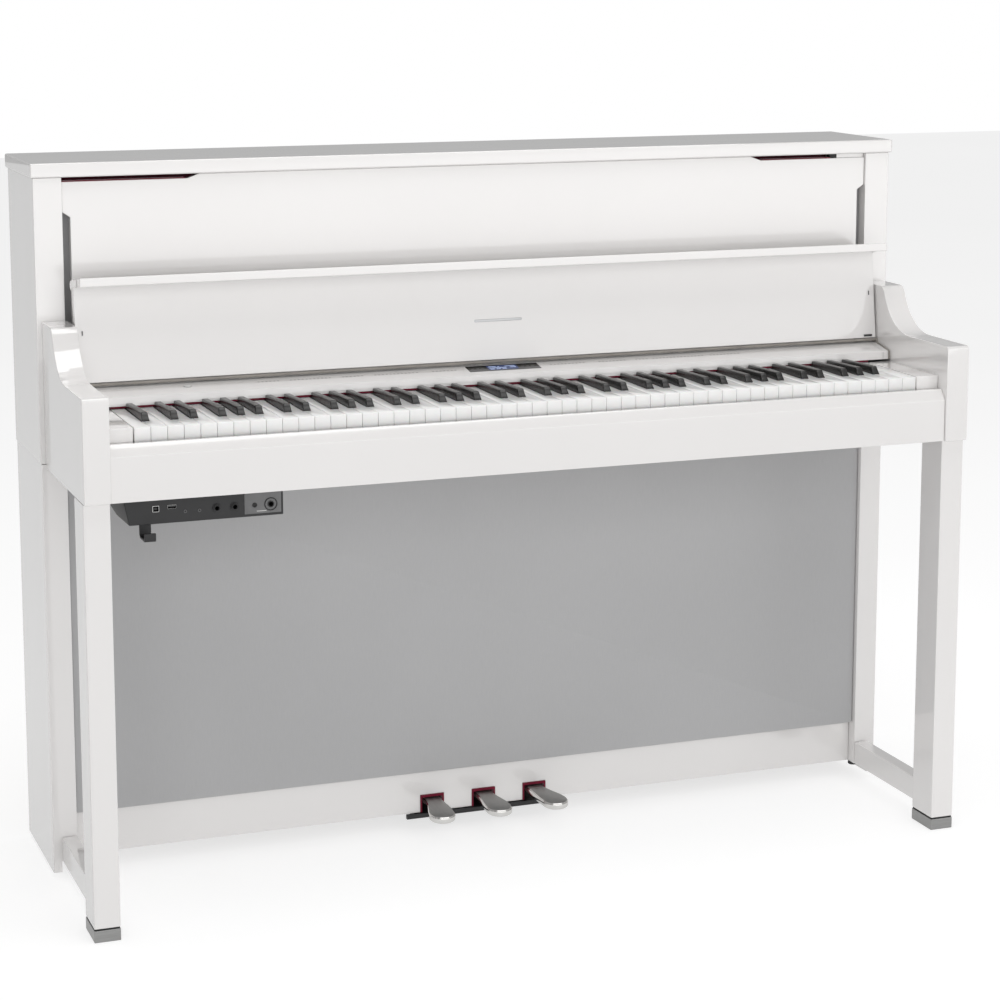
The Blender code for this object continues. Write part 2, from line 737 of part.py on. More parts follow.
def make_kick_board(lacquer):
    """The plinth under the cloth panel, with a slot for each pedal."""
    half = LOWER_POST_INNER - 2 * GAP
    board = block("kick_board", (-half, KICK_FRONT, RAIL_BOTTOM), (half, KICK_FRONT + BOARD, KICK_TOP),
                  lacquer)
    soften(board, 0.0010)
    for x, name in pedal_slots():
        low = (x - PEDAL_SLOT_HALF, KICK_FRONT - 0.0100, RAIL_BOTTOM - 0.0100)
        high = (x + PEDAL_SLOT_HALF, KICK_FRONT + BOARD + 0.0100, PEDAL_SLOT_TOP)
        combine(board, block("pedal_slot_" + name, low, high, lacquer))


def make_pedal_box(material):
    """The black bracket under the plinth that carries the pedal axles."""
    outline = [
        (0.0520, 0.0200),
        (0.1700, 0.0200),
        (0.1700, 0.0700),
        (0.1500, 0.0700),
        (0.1500, 0.0270),
        (0.0520, 0.0270),
    ]
    half = 0.1300
    box = prism("pedal_box", "x", outline, -half, half, material)
    for name, side in (("left", -1), ("right", 1)):
        low_x, high_x = sorted((side * (half - 0.0130), side * (half + 0.0100)))
        cut_back = block("pedal_box_" + name, (low_x, 0.0580, 0.0100), (high_x, 0.1800, 0.0800), material)
        combine(box, cut_back)


def pedal_section(y):
    """Half width, share of the sideways lean, top and bottom at a distance along a pedal."""
    arm_half = 0.0140
    head_half = 0.0208
    head_middle = -0.0130
    head_end = head_middle - PEDAL_TIP
    blend = min(1.0, max(0.0, (y - head_middle) / 0.0600))
    blend = blend * blend * (3 - 2 * blend)
    half = head_half + (arm_half - head_half) * blend
    if y < head_middle:
        reach = min(1.0, (head_middle - y) / head_end)
        half = head_half * math.sqrt(max(0.0, 1.0 - reach ** 2.6))
    lean = min(1.0, max(0.0, (0.0500 - y) / (0.0500 - head_middle))) ** 1.3
    top = 0.0505 - 0.0015 * max(0.0, -y / 0.0380)
    bottom = top - 0.0120
    return half, lean, top, bottom


def make_pedals(metal):
    """Three plated pedals: an arm that widens to a rounded head."""
    stations = [PEDAL_TIP + 0.0003, -0.0374, -0.0355, -0.0325, -0.0280, -0.0215, -0.0130,
                0.0000, 0.0120, 0.0240, 0.0360, 0.0470, 0.1350]
    for x, name in pedal_slots():
        splay = PEDAL_SPLAY * x / PEDAL_PITCH
        rings = []
        for y in stations:
            half, lean, top, bottom = pedal_section(y)
            centre = x + splay * lean
            tall = (top - bottom) / 2
            middle = (top + bottom) / 2
            if y < -0.0350:
                tall *= 0.55 + 0.45 * (y - PEDAL_TIP) / 0.0030
            ring = []
            for step in range(12):
                angle = math.radians(15.0 + 30.0 * step)
                across = math.copysign(abs(math.cos(angle)) ** 0.55, math.cos(angle))
                up = math.copysign(abs(math.sin(angle)) ** 0.70, math.sin(angle))
                ring.append((centre + half * across, y, middle + tall * up))
            rings.append(ring)
        pedal = loft("pedal_" + name, rings, metal, (x, *PEDAL_PIVOT))
        shade_round(pedal, 50.0)


# ---------------------------------------------------------------- sockets
def make_jack_box(material):
    """The socket box under the key bed, with its left end cut back."""
    top = KEYBED_BOTTOM - GAP
    right = -0.3980
    back = -0.1300
    rings = [
        [(-0.6285, JACK_FRONT, top), (right, JACK_FRONT, top), (right, JACK_FRONT, JACK_BOTTOM),
         (-0.6200, JACK_FRONT, JACK_BOTTOM)],
        [(-0.6450, back, top), (right, back, top), (right, back, JACK_BOTTOM),
         (-0.6210, back, JACK_BOTTOM)],
    ]
    box = loft("jack_box", rings, material)
    soften(box, 0.0008, 1)
    for name, x, z, half_x, half_z in (("usb_device", -0.5820, 0.6115, 0.0042, 0.0039),
                                       ("usb_memory", -0.5590, 0.6130, 0.0064, 0.0028)):
        low = (x - half_x, JACK_FRONT - 0.0100, z - half_z)
        high = (x + half_x, JACK_FRONT + 0.0130, z + half_z)
        combine(box, block(name + "_socket", low, high, material))
    for name, x in (("phones_a", -0.4950), ("phones_b", -0.4690), ("input", -0.4165)):
        rings = [circle_ring("y", (x, 0.6065), 0.0033, y, 16)
                 for y in (JACK_FRONT - 0.0100, JACK_FRONT + 0.0200)]
        combine(box, loft(name + "_socket", rings, material))


def make_headphone_hook(material):
    """A bent strap that hangs under the socket box and turns up at its front."""
    thick = 0.0032
    back = -0.1900
    front = -0.2240
    bottom = 0.5690
    outline = [
        (back, JACK_BOTTOM - GAP),
        (back - thick, JACK_BOTTOM - GAP),
        (back - thick, bottom + thick + 0.0030),
        (back - thick - 0.0030, bottom + thick),
        (front + thick, bottom + thick),
        (front + thick, bottom + 0.0120),
        (front, bottom + 0.0120),
        (front, bottom + 0.0015),
        (front + 0.0015, bottom),
        (back - 0.0050, bottom),
        (back, bottom + 0.0050),
    ]
    soften(prism("headphone_hook", "x", outline, -0.6030, -0.5865, material), 0.0006, 1)


# ---------------------------------------------------------------- whole object
def build():
    """Make every piece."""
    clear_scene()
    lacquer = make_material("white_lacquer", (0.86, 0.86, 0.85), 0.08)
    ivory = make_material("key_white", (0.88, 0.88, 0.87), 0.25)
    ebony = make_material("key_black", (0.03, 0.03, 0.03), 0.35)
    felt = make_material("red_felt", (0.28, 0.01, 0.04), 0.95)
    cloth = make_material("speaker_cloth", (0.40, 0.40, 0.40), 0.85)
    black = make_material("black_plastic", (0.03, 0.03, 0.03), 0.45)
    glass = make_material("display_glass", (0.02, 0.02, 0.03), 0.05)
    chrome = make_material("pedal_metal", (0.62, 0.62, 0.61), 0.22, 1.0)
    steel = make_material("hinge_steel", (0.45, 0.45, 0.45), 0.35, 1.0)
    shoe = make_material("foot_metal", (0.55, 0.55, 0.55), 0.35, 1.0)
    board = make_material("back_board", (0.30, 0.26, 0.22), 0.70)
    circuit = make_material("circuit_board", (0.04, 0.22, 0.08), 0.45)
    cone = make_material("speaker_cone", (0.05, 0.05, 0.05), 0.60)

    inlet_low = (-0.5600, 0.2150, 0.5700)
    inlet_high = (-0.5200, 0.2375, 0.5960)
    make_upper_sides(lacquer)
    make_lower_sides(lacquer)
    make_top_lid(lacquer)
    make_lid_hinge(steel)
    make_upper_front_panel(lacquer)
    make_back_panel(board, inlet_low, inlet_high)
    make_power_inlet(black, inlet_low, inlet_high)
    make_cheeks(lacquer)
    make_legs(lacquer, shoe)
    make_keybed(lacquer)
    make_key_frame(steel)
    make_main_board(circuit)
    make_moving_keys(ivory, ebony)
    make_natural_set("naturals_bass", 0, FIRST_MOVING_NATURAL, ivory)
    after = FIRST_MOVING_NATURAL + MOVING_NATURALS
    make_natural_set("naturals_treble", after, NATURAL_COUNT - after, ivory)
    make_sharp_set("sharps_bass", 1, FIRST_MOVING_NATURAL, ebony)
    make_sharp_set("sharps_treble", after, NATURAL_COUNT - 1, ebony)
    make_control_panel(lacquer, glass, black)
    make_nameboard_felt(felt)
    make_cover(lacquer)
    make_flap_hinges(steel)
    make_cover_hinge(steel)
    make_speakers(cloth, board, cone)
    make_kick_board(lacquer)
    make_pedal_box(black)
    make_pedals(chrome)
    make_jack_box(black)
    make_headphone_hook(black)


build()
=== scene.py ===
"""Looks of the white console piano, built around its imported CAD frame.

Metres, +Z up, +X to the player's right, +Y away from the player. A small piece is
built in the frame of the surface that it sits on: x to the right, y up the surface
and z out of it.
"""
import json
import math

import bmesh
import bpy
from mathutils import Matrix, Vector
from mathutils.bvhtree import BVHTree


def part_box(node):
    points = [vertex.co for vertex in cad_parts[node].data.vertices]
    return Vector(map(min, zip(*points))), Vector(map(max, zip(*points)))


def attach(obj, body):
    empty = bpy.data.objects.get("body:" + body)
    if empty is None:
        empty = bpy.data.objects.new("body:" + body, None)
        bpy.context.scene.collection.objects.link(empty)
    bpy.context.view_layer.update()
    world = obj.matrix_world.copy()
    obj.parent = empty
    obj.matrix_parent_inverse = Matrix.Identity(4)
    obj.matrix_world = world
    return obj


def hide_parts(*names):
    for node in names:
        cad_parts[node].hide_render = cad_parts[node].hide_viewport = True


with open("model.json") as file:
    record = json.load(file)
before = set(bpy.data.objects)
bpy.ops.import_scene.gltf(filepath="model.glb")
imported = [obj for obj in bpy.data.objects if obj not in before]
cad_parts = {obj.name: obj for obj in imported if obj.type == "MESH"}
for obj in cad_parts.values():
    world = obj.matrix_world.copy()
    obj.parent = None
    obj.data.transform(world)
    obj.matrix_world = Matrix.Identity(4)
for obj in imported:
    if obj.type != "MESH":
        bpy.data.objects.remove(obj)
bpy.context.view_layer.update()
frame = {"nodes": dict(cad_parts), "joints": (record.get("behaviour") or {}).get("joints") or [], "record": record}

ROOT = "case"
NODES = frame["nodes"]
RECORD = frame["record"]
JOINTS = {joint["name"]: joint for joint in frame["joints"]}
OPENINGS = {hole["name"]: hole["box_m"] for hole in RECORD["physics"]["openings"]}
TAU = 2.0 * math.pi
RIGHT = Vector((1.0, 0.0, 0.0))
BACKWARD = Vector((0.0, 1.0, 0.0))
DOWN = Vector((0.0, 0.0, -1.0))
ABOVE = 2.0  # a height over the whole piano
SIDES = (("left", -1), ("right", 1))
MAT = {}


# ======== node tools
class Nodes:
    """The nodes of a material or of the world, added and wired by short calls."""

    def __init__(self, owner, shader):
        owner.use_nodes = True
        self.tree = owner.node_tree
        self.shader = self.tree.nodes[shader]
        self.coordinates = self.add("ShaderNodeTexCoord").outputs

    def put(self, socket, value):
        """A link from another node, or a constant."""
        if isinstance(value, bpy.types.NodeSocket):
            self.tree.links.new(value, socket)
        elif socket.type == "RGBA":
            socket.default_value = (*value, 1.0)
        else:
            socket.default_value = value

    def feed(self, node, inputs):
        for name, value in inputs.items():
            self.put(node.inputs[name.replace("_", " ")], value)

    def add(self, kind, **inputs):
        """A node with its inputs; an underscore stands for a space in their names."""
        node = self.tree.nodes.new(kind)
        self.feed(node, inputs)
        return node

    def set(self, **inputs):
        """Inputs of the shader itself."""
        self.feed(self.shader, inputs)

    def noise(self, scale, detail=3.0, rough=0.5, stretch=None):
        """Noise over the object; stretch scales the coordinates per axis."""
        place = self.coordinates["Object"]
        if stretch:
            place = self.add("ShaderNodeMapping", Vector=place, Scale=stretch).outputs["Vector"]
        node = self.add("ShaderNodeTexNoise", Vector=place, Scale=scale, Detail=detail,
                        Roughness=rough)
        return node.outputs["Fac"]

    def threads(self, per_metre, direction):
        """Parallel threads; a wave texture runs through 20 radians per unit of scale."""
        node = self.add("ShaderNodeTexWave", Vector=self.coordinates["Object"],
                        Scale=per_metre * TAU / 20.0)
        node.bands_direction = direction
        return node.outputs["Fac"]

    def island(self):
        """A different value for each separate body of a mesh."""
        return self.add("ShaderNodeNewGeometry").outputs["Random Per Island"]

    def camera_ray(self):
        return self.add("ShaderNodeLightPath").outputs["Is Camera Ray"]

    def math(self, operation, a, b):
        node = self.add("ShaderNodeMath")
        node.operation = operation
        self.put(node.inputs[0], a)
        self.put(node.inputs[1], b)
        return node.outputs[0]

    def blend(self, *weighted):
        """The sum of (value, weight) pairs."""
        total = None
        for value, weight in weighted:
            part = self.math("MULTIPLY", value, weight)
            total = part if total is None else self.math("ADD", total, part)
        return total

    def remap(self, source, low, high, start=0.0, end=1.0):
        """A value that runs from start to end, moved to run from low to high."""
        node = self.add("ShaderNodeMapRange", Value=source, From_Min=start, From_Max=end,
                        To_Min=low, To_Max=high)
        return node.outputs["Result"]

    def colour(self, source, dark, light, low=0.3, high=0.7):
        """Base colour from dark, where source is low, to light, where it is high."""
        ramp = self.add("ShaderNodeValToRGB", Fac=source)
        first, last = ramp.color_ramp.elements
        first.position, first.color = low, (*dark, 1.0)
        last.position, last.color = high, (*light, 1.0)
        self.set(Base_Color=ramp.outputs["Color"])
        return ramp.outputs["Color"]

    def tones(self, source, colour, darker, lighter, low=0.3, high=0.7):
        """Base colour from a darker to a lighter tone of one colour."""
        dark, light = (tuple(min(1.0, channel * factor) for channel in colour)
                       for factor in (darker, lighter))
        self.colour(source, dark, light, low, high)

    def roughness(self, source, low, high):
        self.set(Roughness=self.remap(source, low, high))

    def bump(self, height, strength, distance):
        node = self.add("ShaderNodeBump", Height=height, Strength=strength, Distance=distance)
        self.set(Normal=node.outputs["Normal"])


def material(name):
    MAT[name] = bpy.data.materials.new(name)
    return Nodes(MAT[name], "Principled BSDF")


# ======== materials
def white_lacquer():
    """Polished polyester: a clear coat over white, with the faintest orange peel."""
    m = material("white_lacquer")
    m.tones(m.noise(2.2, 4.0), (0.835, 0.818, 0.808), 0.985, 1.01)
    m.roughness(m.noise(9.0, 2.0), 0.06, 0.12)
    m.bump(m.noise(60.0, 1.0), 0.02, 0.0004)
    m.set(Coat_Weight=1.0, Coat_Roughness=0.02, Coat_IOR=1.85, IOR=1.45)


def key_white():
    """Natural keys: satin white with a fine grain along the key."""
    m = material("key_white")
    grain = m.noise(1400.0, stretch=(1.0, 0.06, 1.0))
    tone = m.blend((m.noise(14.0, 2.0), 0.5), (m.island(), 0.5))
    m.tones(tone, (0.905, 0.903, 0.895), 0.975, 1.0, 0.2, 0.8)
    m.roughness(grain, 0.12, 0.2)
    m.bump(grain, 0.03, 0.0002)
    m.set(IOR=1.5, Subsurface_Weight=0.04, Subsurface_Scale=0.002)


def key_black():
    """Sharps: charcoal black with a drawn wood-like grain."""
    m = material("key_black")
    grain = m.noise(1100.0, 4.0, 0.6, stretch=(1.0, 0.05, 1.0))
    tone = m.blend((grain, 0.75), (m.island(), 0.25))
    m.colour(tone, (0.012, 0.012, 0.012), (0.028, 0.027, 0.026))
    m.roughness(grain, 0.18, 0.3)
    m.bump(grain, 0.18, 0.0002)
    m.set(IOR=1.5)


def felt(name, colour):
    """Pressed wool felt."""
    m = material(name)
    fuzz = m.noise(900.0, 6.0, 0.7)
    m.tones(m.blend((fuzz, 0.6), (m.noise(70.0), 0.4)), colour, 0.6, 1.35)
    m.bump(fuzz, 0.8, 0.0006)
    m.set(Roughness=0.95, Sheen_Weight=0.4, Sheen_Roughness=0.5, Specular_IOR_Level=0.2)


def woven_cloth(name, colour, per_metre):
    """Plain-woven acoustic cloth."""
    m = material(name)
    weave = m.math("MULTIPLY", m.threads(per_metre, "X"), m.threads(per_metre, "Z"))
    slub = m.noise(520.0, stretch=(1.0, 1.0, 0.12))
    tone = m.blend((weave, 0.4), (slub, 0.25), (m.noise(3.0, 2.0), 0.35))
    m.tones(tone, colour, 0.9, 1.08, 0.1, 0.75)
    m.bump(tone, 0.25, 0.0004)
    m.set(Roughness=0.82, Sheen_Weight=0.25, Sheen_Roughness=0.4, Specular_IOR_Level=0.25)


def moulded_plastic(name, colour, low=0.38, high=0.52):
    """Injection-moulded plastic with a fine spark-eroded texture."""
    m = material(name)
    tone = m.noise(40.0)
    m.tones(tone, colour, 0.85, 1.15)
    m.roughness(tone, low, high)
    m.bump(m.noise(1500.0, 2.0), 0.25, 0.0002)


def brushed_metal(name, colour, along, rough=(0.24, 0.38), strength=0.25):
    """Metal brushed along one axis: 'x', 'y' or 'z'."""
    m = material(name)
    lines = m.noise(1600.0, 3.0, 0.6, [0.02 if axis == along else 1.0 for axis in "xyz"])
    m.tones(lines, colour, 0.86, 1.08)
    m.roughness(m.blend((lines, 0.7), (m.noise(18.0), 0.3)), *rough)
    m.bump(lines, strength, 0.0001)
    m.set(Metallic=1.0)


def polished_metal(name, colour):
    """Plated metal with faint wiping marks."""
    m = material(name)
    marks = m.noise(90.0, 4.0, 0.6)
    m.tones(marks, colour, 0.93, 1.04)
    m.roughness(marks, 0.05, 0.16)
    m.set(Metallic=1.0)


def back_board():
    """Brown hardboard with loose fibres."""
    m = material("back_board")
    fibre = m.noise(320.0, 6.0, 0.7, stretch=(1.0, 1.0, 0.35))
    tone = m.blend((fibre, 0.7), (m.noise(5.0), 0.3))
    m.colour(tone, (0.16, 0.105, 0.062), (0.3, 0.21, 0.135))
    m.roughness(fibre, 0.65, 0.85)
    m.bump(fibre, 0.4, 0.0004)


def circuit_board():
    """Green solder mask over a pattern of tracks."""
    m = material("circuit_board")
    tracks = m.add("ShaderNodeTexBrick", Vector=m.coordinates["Object"], Scale=120.0,
                   Mortar_Size=0.03)
    m.colour(tracks.outputs["Fac"], (0.012, 0.11, 0.035), (0.05, 0.28, 0.09), 0.0, 1.0)
    m.set(Roughness=0.4)


def speaker_cone():
    """Treated paper."""
    m = material("speaker_cone")
    fibre = m.noise(260.0, 5.0, 0.7)
    m.colour(fibre, (0.018, 0.018, 0.018), (0.05, 0.05, 0.052))
    m.roughness(fibre, 0.55, 0.75)
    m.bump(fibre, 0.5, 0.0005)


def display_glass():
    """Smoked window over the display."""
    m = material("display_glass")
    smudge = m.noise(60.0, 4.0)
    m.colour(smudge, (0.01, 0.011, 0.012), (0.016, 0.017, 0.018))
    m.roughness(smudge, 0.06, 0.16)
    m.set(Coat_Weight=0.5, Coat_Roughness=0.02)


def lit_display():
    """Back-lit blue-grey liquid crystal."""
    m = material("lit_display")
    dots = m.math("MULTIPLY", m.threads(1300.0, "X"), m.threads(1300.0, "Y"))
    glow = m.colour(dots, (0.035, 0.05, 0.12), (0.07, 0.095, 0.2), 0.2, 0.8)
    m.set(Emission_Color=glow, Emission_Strength=0.55, Roughness=0.25)


def plain_print(name, colour, glow=0.0):
    """Screen-printed ink, slightly uneven, or a lit segment."""
    m = material(name)
    patch = m.noise(800.0, 2.0)
    m.tones(patch, colour, 0.92, 1.06)
    m.roughness(patch, 0.4, 0.52)
    if glow:
        m.set(Emission_Color=colour, Emission_Strength=glow)


def floor_white():
    """A floor that shows only a faint shadow to the camera."""
    m = material("floor_white")
    m.colour(m.noise(0.8), (0.4, 0.4, 0.4), (0.42, 0.42, 0.42))
    m.set(Roughness=0.85, Specular_IOR_Level=0.1, Emission_Color=(1.0, 1.0, 1.0),
          Emission_Strength=m.remap(m.camera_ray(), 0.5, 0.7))


def make_materials():
    white_lacquer()
    key_white()
    key_black()
    felt("red_felt", (0.17, 0.004, 0.024))
    # a darker copy of the red felt: painted shade on the scoops' back walls
    felt("maroon_felt", (0.055, 0.002, 0.01))
    woven_cloth("speaker_cloth", (0.47, 0.47, 0.475), 1500.0)
    # grey cloth behind the side slots, darker than the speaker cloth as painted shade
    woven_cloth("slot_cloth", (0.3, 0.3, 0.305), 1200.0)
    moulded_plastic("black_plastic", (0.017, 0.017, 0.018))
    moulded_plastic("grey_plastic", (0.11, 0.11, 0.112))
    moulded_plastic("plate_grey", (0.15, 0.15, 0.152))
    moulded_plastic("white_plastic", (0.62, 0.62, 0.61), 0.25, 0.35)
    # the cover's hinge rod: taupe darkened as painted shade for the gap under the cover
    moulded_plastic("hinge_taupe_painted_shade", (0.3, 0.28, 0.255))
    moulded_plastic("rubber", (0.02, 0.02, 0.02), 0.55, 0.7)
    display_glass()
    lit_display()
    brushed_metal("pedal_top", (0.36, 0.357, 0.35), "y", (0.42, 0.55))
    brushed_metal("hinge_steel", (0.42, 0.42, 0.42), "x")
    brushed_metal("foot_metal", (0.36, 0.36, 0.355), "x", (0.26, 0.4))
    brushed_metal("inlay_silver", (0.5, 0.5, 0.51), "x", (0.3, 0.42), 0.1)
    polished_metal("pedal_rim", (0.8, 0.79, 0.77))
    polished_metal("socket_metal", (0.76, 0.76, 0.75))
    back_board()
    circuit_board()
    speaker_cone()
    plain_print("grey_print", (0.3, 0.3, 0.295))
    plain_print("pale_print", (0.5, 0.6, 0.85), 0.45)
    floor_white()


# ======== mesh tools
def mesh_object(name, bm, look, smooth, at=None):
    """A named object from a bmesh; edges sharper than the smooth angle stay sharp."""
    if at is not None:
        bm.transform(at)
    bmesh.ops.recalc_face_normals(bm, faces=bm.faces)
    mesh = bpy.data.meshes.new(name)
    bm.to_mesh(mesh)
    bm.free()
    mesh.materials.append(MAT[look])
    mesh.shade_smooth()
    mesh.set_sharp_from_angle(angle=math.radians(smooth))
    obj = bpy.data.objects.new(name, mesh)
    bpy.context.scene.collection.objects.link(obj)
    return obj


def piece(name, bm, look, smooth=50.0, at=None, body=ROOT, replaces=None):
    """A mesh on its body and the CAD node that it stands for."""
    obj = mesh_object(name, bm, look, smooth, at)
    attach(obj, body)
    if replaces:
        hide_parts(replaces)
    return obj


def add_rings(bm, rings, ends="cap"):
    """A tube through rings of equal length; its ends are capped, joined or open."""
    loops = [[bm.verts.new(point) for point in ring] for ring in rings]
    count = len(loops[0])
    pairs = list(zip(loops, loops[1:]))
    if ends == "join":
        pairs.append((loops[-1], loops[0]))
    for near, far in pairs:
        for i in range(count):
            j = (i + 1) % count
            bm.faces.new((near[i], near[j], far[j], far[i]))
    if ends == "cap":
        bm.faces.new(list(reversed(loops[0])))
        bm.faces.new(loops[-1])
    return loops


def tube(name, rings, look, smooth=50.0, ends="cap", at=None, body=ROOT, replaces=None):
    """A piece that is one tube."""
    bm = bmesh.new()
    add_rings(bm, rings, ends)
    piece(name, bm, look, smooth, at, body, replaces)


def add_box(bm, low, high):
    """A block between two corners."""
    corners = [(low[0], low[1]), (high[0], low[1]), (high[0], high[1]), (low[0], high[1])]
    add_rings(bm, [[(x, y, z) for x, y in corners] for z in (low[2], high[2])])


def round_edges(bm, width, angle=30.0):
    """Round every edge that is sharper than the angle."""
    limit = math.radians(angle)
    edges = [edge for edge in bm.edges if edge.is_manifold and edge.calc_face_angle() > limit]
    bmesh.ops.bevel(bm, geom=edges, offset=width, segments=2, profile=0.5, affect="EDGES")


def blocks(name, boxes, look, edge=0.0003, at=None, body=ROOT, slot=None):
    """Several blocks with rounded edges in one piece."""
    bm = bmesh.new()
    for low, high in boxes:
        add_box(bm, low, high)
    round_edges(bm, edge)
    return piece(name, bm, look, 40.0, at, body, None)


def block(name, low, high, *rest, **named):
    """One block with rounded edges."""
    return blocks(name, [(low, high)], *rest, **named)


def polar(radii):
    """Points at equal angles round the origin, one for each radius."""
    count = len(radii)
    return [(radius * math.cos(TAU * i / count), radius * math.sin(TAU * i / count))
            for i, radius in enumerate(radii)]


def turned(name, at, profile, look, ends="join"):
    """A turned piece that stands on a surface's frame; profile is (radius, height)."""
    rings = [[(x, y, height) for x, y in polar([radius] * 32)] for radius, height in profile]
    tube(name, rings, look, 35.0, ends, at)


def arc(centre, radius, start, end, steps):
    """Points along an arc, angles in degrees, both ends included."""
    points = []
    for i in range(steps + 1):
        angle = math.radians(start + (end - start) * i / steps)
        points.append((centre[0] + radius * math.cos(angle), centre[1] + radius * math.sin(angle)))
    return points


def mirrored(right):
    """An outline's right half with the left half that matches it."""
    return right + [(-x, y) for x, y in reversed(right)]


def rounded_rectangle(half_w, half_h, radius, steps=4):
    """Outline points of a rectangle round the origin, with rounded corners."""
    points = []
    for turn, (x, y) in enumerate(((1, 1), (-1, 1), (-1, -1), (1, -1))):
        centre = (x * (half_w - radius), y * (half_h - radius))
        points += arc(centre, radius, 90.0 * turn, 90.0 * turn + 90.0, steps)
    return points


def rounded_levels(half_w, half_h, corner, shrink, levels, steps=3):
    """Rounded rectangles, one to each (inset, height); corners shrink with the inset."""
    return [[(x, y, z) for x, y in rounded_rectangle(half_w - inset, half_h - inset,
                                                     corner - shrink * inset, steps)]
            for inset, z in levels]


def surface_tree(node):
    mesh = NODES[node].data
    return BVHTree.FromPolygons([v.co for v in mesh.vertices], [p.vertices for p in mesh.polygons])


def surface_frame(node, start, direction):
    """The frame of a CAD surface where a ray first meets it."""
    point, normal, _, _ = surface_tree(node).ray_cast(Vector(start), direction)
    if normal.dot(direction) > 0.0:
        normal.negate()
    up = normal.cross(RIGHT).normalized()
    return Matrix.Translation(point) @ Matrix((RIGHT, up, normal)).transposed().to_4x4()


def top_frame(node, x, y):
    """The frame of a CAD node's top over a point of the plan."""
    return surface_frame(node, (x, y, ABOVE), DOWN)


def joint_point(name):
    return Vector(JOINTS[name]["pos_m"])


def corners(node):
    """A node's lowest and highest corner."""
    return [Vector(corner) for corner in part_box(node)]


# ======== carried-over CAD nodes
def edge_shading():
    """A modifier group that joins a solid's triangles and keeps only true corners sharp."""
    group = bpy.data.node_groups.new("edge_shading", "GeometryNodeTree")
    for way in ("INPUT", "OUTPUT"):
        group.interface.new_socket("Geometry", in_out=way, socket_type="NodeSocketGeometry")
    merge, clear, faces, edges = (group.nodes.new(kind) for kind in (
        "GeometryNodeMergeByDistance", "GeometryNodeRemoveAttribute",
        "GeometryNodeSetShadeSmooth", "GeometryNodeSetShadeSmooth"))
    merge.inputs["Distance"].default_value = 0.00002
    clear.inputs["Name"].default_value = "custom_normal"
    edges.domain = "EDGE"
    edges.inputs["Shade Smooth"].default_value = False
    sharper = group.nodes.new("FunctionNodeCompare")
    sharper.operation = "GREATER_THAN"
    sharper.inputs["B"].default_value = math.radians(38.0)
    angle = group.nodes.new("GeometryNodeInputMeshEdgeAngle")
    chain = [group.nodes.new("NodeGroupInput"), merge, clear, faces, edges,
             group.nodes.new("NodeGroupOutput")]
    for near, far in zip(chain, chain[1:]):
        group.links.new(near.outputs["Geometry"], far.inputs["Geometry"])
    group.links.new(angle.outputs["Unsigned Angle"], sharper.inputs["A"])
    group.links.new(sharper.outputs["Result"], edges.inputs["Selection"])
    return group


def dress_cad_nodes():
    """Give every CAD node its finished material and clean shading."""
    by_slot = {"power_button_white": "white_plastic", "pedal_metal": "pedal_rim"}
    # the cover's hinge rod is darkened as painted shade for the gap under the cover
    by_node = {"fallboard_hinge": "hinge_taupe_painted_shade", "flap_hinge_left": "white_lacquer",
               "flap_hinge_right": "white_lacquer"}
    slot_of = {part["node"]: part["material_slot"] for part in RECORD["subparts"]}
    group = edge_shading()
    for name, obj in NODES.items():
        slot = slot_of[name]
        obj.data.materials.clear()
        obj.data.materials.append(MAT[by_node.get(name, by_slot.get(slot, slot))])
        obj.modifiers.new("edge_shading", "NODES").node_group = group
        obj.modifiers.new("flat_faces", "WEIGHTED_NORMAL").keep_sharp = True


# ======== keys
# The octave's natural boundaries that have a sharp over them
SHARP_PLACES = ((1, "c"), (2, "d"), (4, "f"), (5, "g"), (6, "a"))


class Keyboard:
    """Sizes of the keys, read from the CAD's middle octave."""

    def __init__(self):
        c_low, c_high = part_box("key_c")
        b_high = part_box("key_b")[1]
        sharp_low, sharp_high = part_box("key_c_sharp")
        cad_slit = 0.001
        self.slit = 0.0007
        self.front, self.tail = c_low[1], c_high[1]
        self.bottom, self.top = c_low[2], c_high[2]
        self.pitch = (b_high[0] - c_low[0] + cad_slit) / 7
        self.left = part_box("naturals_bass")[0][0] - cad_slit / 2
        self.count = 52
        self.first_moving = 23
        self.sharp_front = sharp_low[1]
        self.sharp_high = sharp_high[2]
        self.half = (sharp_high[0] - sharp_low[0]) / 2
        self.offsets = {}
        for place, name in SHARP_PLACES:
            low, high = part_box(f"key_{name}_sharp")
            self.offsets[place] = (low[0] + high[0]) / 2 - self.boundary(self.first_moving + place)

    def boundary(self, index):
        return self.left + index * self.pitch

    def sharp_at(self, boundary):
        """X of the sharp over a natural boundary, or None where there is no sharp."""
        place = (boundary + 5) % 7
        if not 0 < boundary < self.count or place not in self.offsets:
            return None
        return self.boundary(boundary) + self.offsets[place]


KEYS = Keyboard()
FIXED_RUNS = (("bass", 0, KEYS.first_moving), ("treble", KEYS.first_moving + 7, KEYS.count))
FIXED_TAIL = -0.048  # Y where the fixed naturals end
SHARP_BASE = KEYS.top - 0.0002  # where a sharp's cap starts
SHARP_CREST = -0.163  # Y where a sharp's top begins
SHARP_CAP_END = -0.0668
SHARP_BACK_DROP = 0.0033  # how much lower a sharp's top is at its back
SHARP_CROWN_HALF = 0.0046
STRIP_RISE = 0.0102  # from the key bottom to the strip behind the sharps


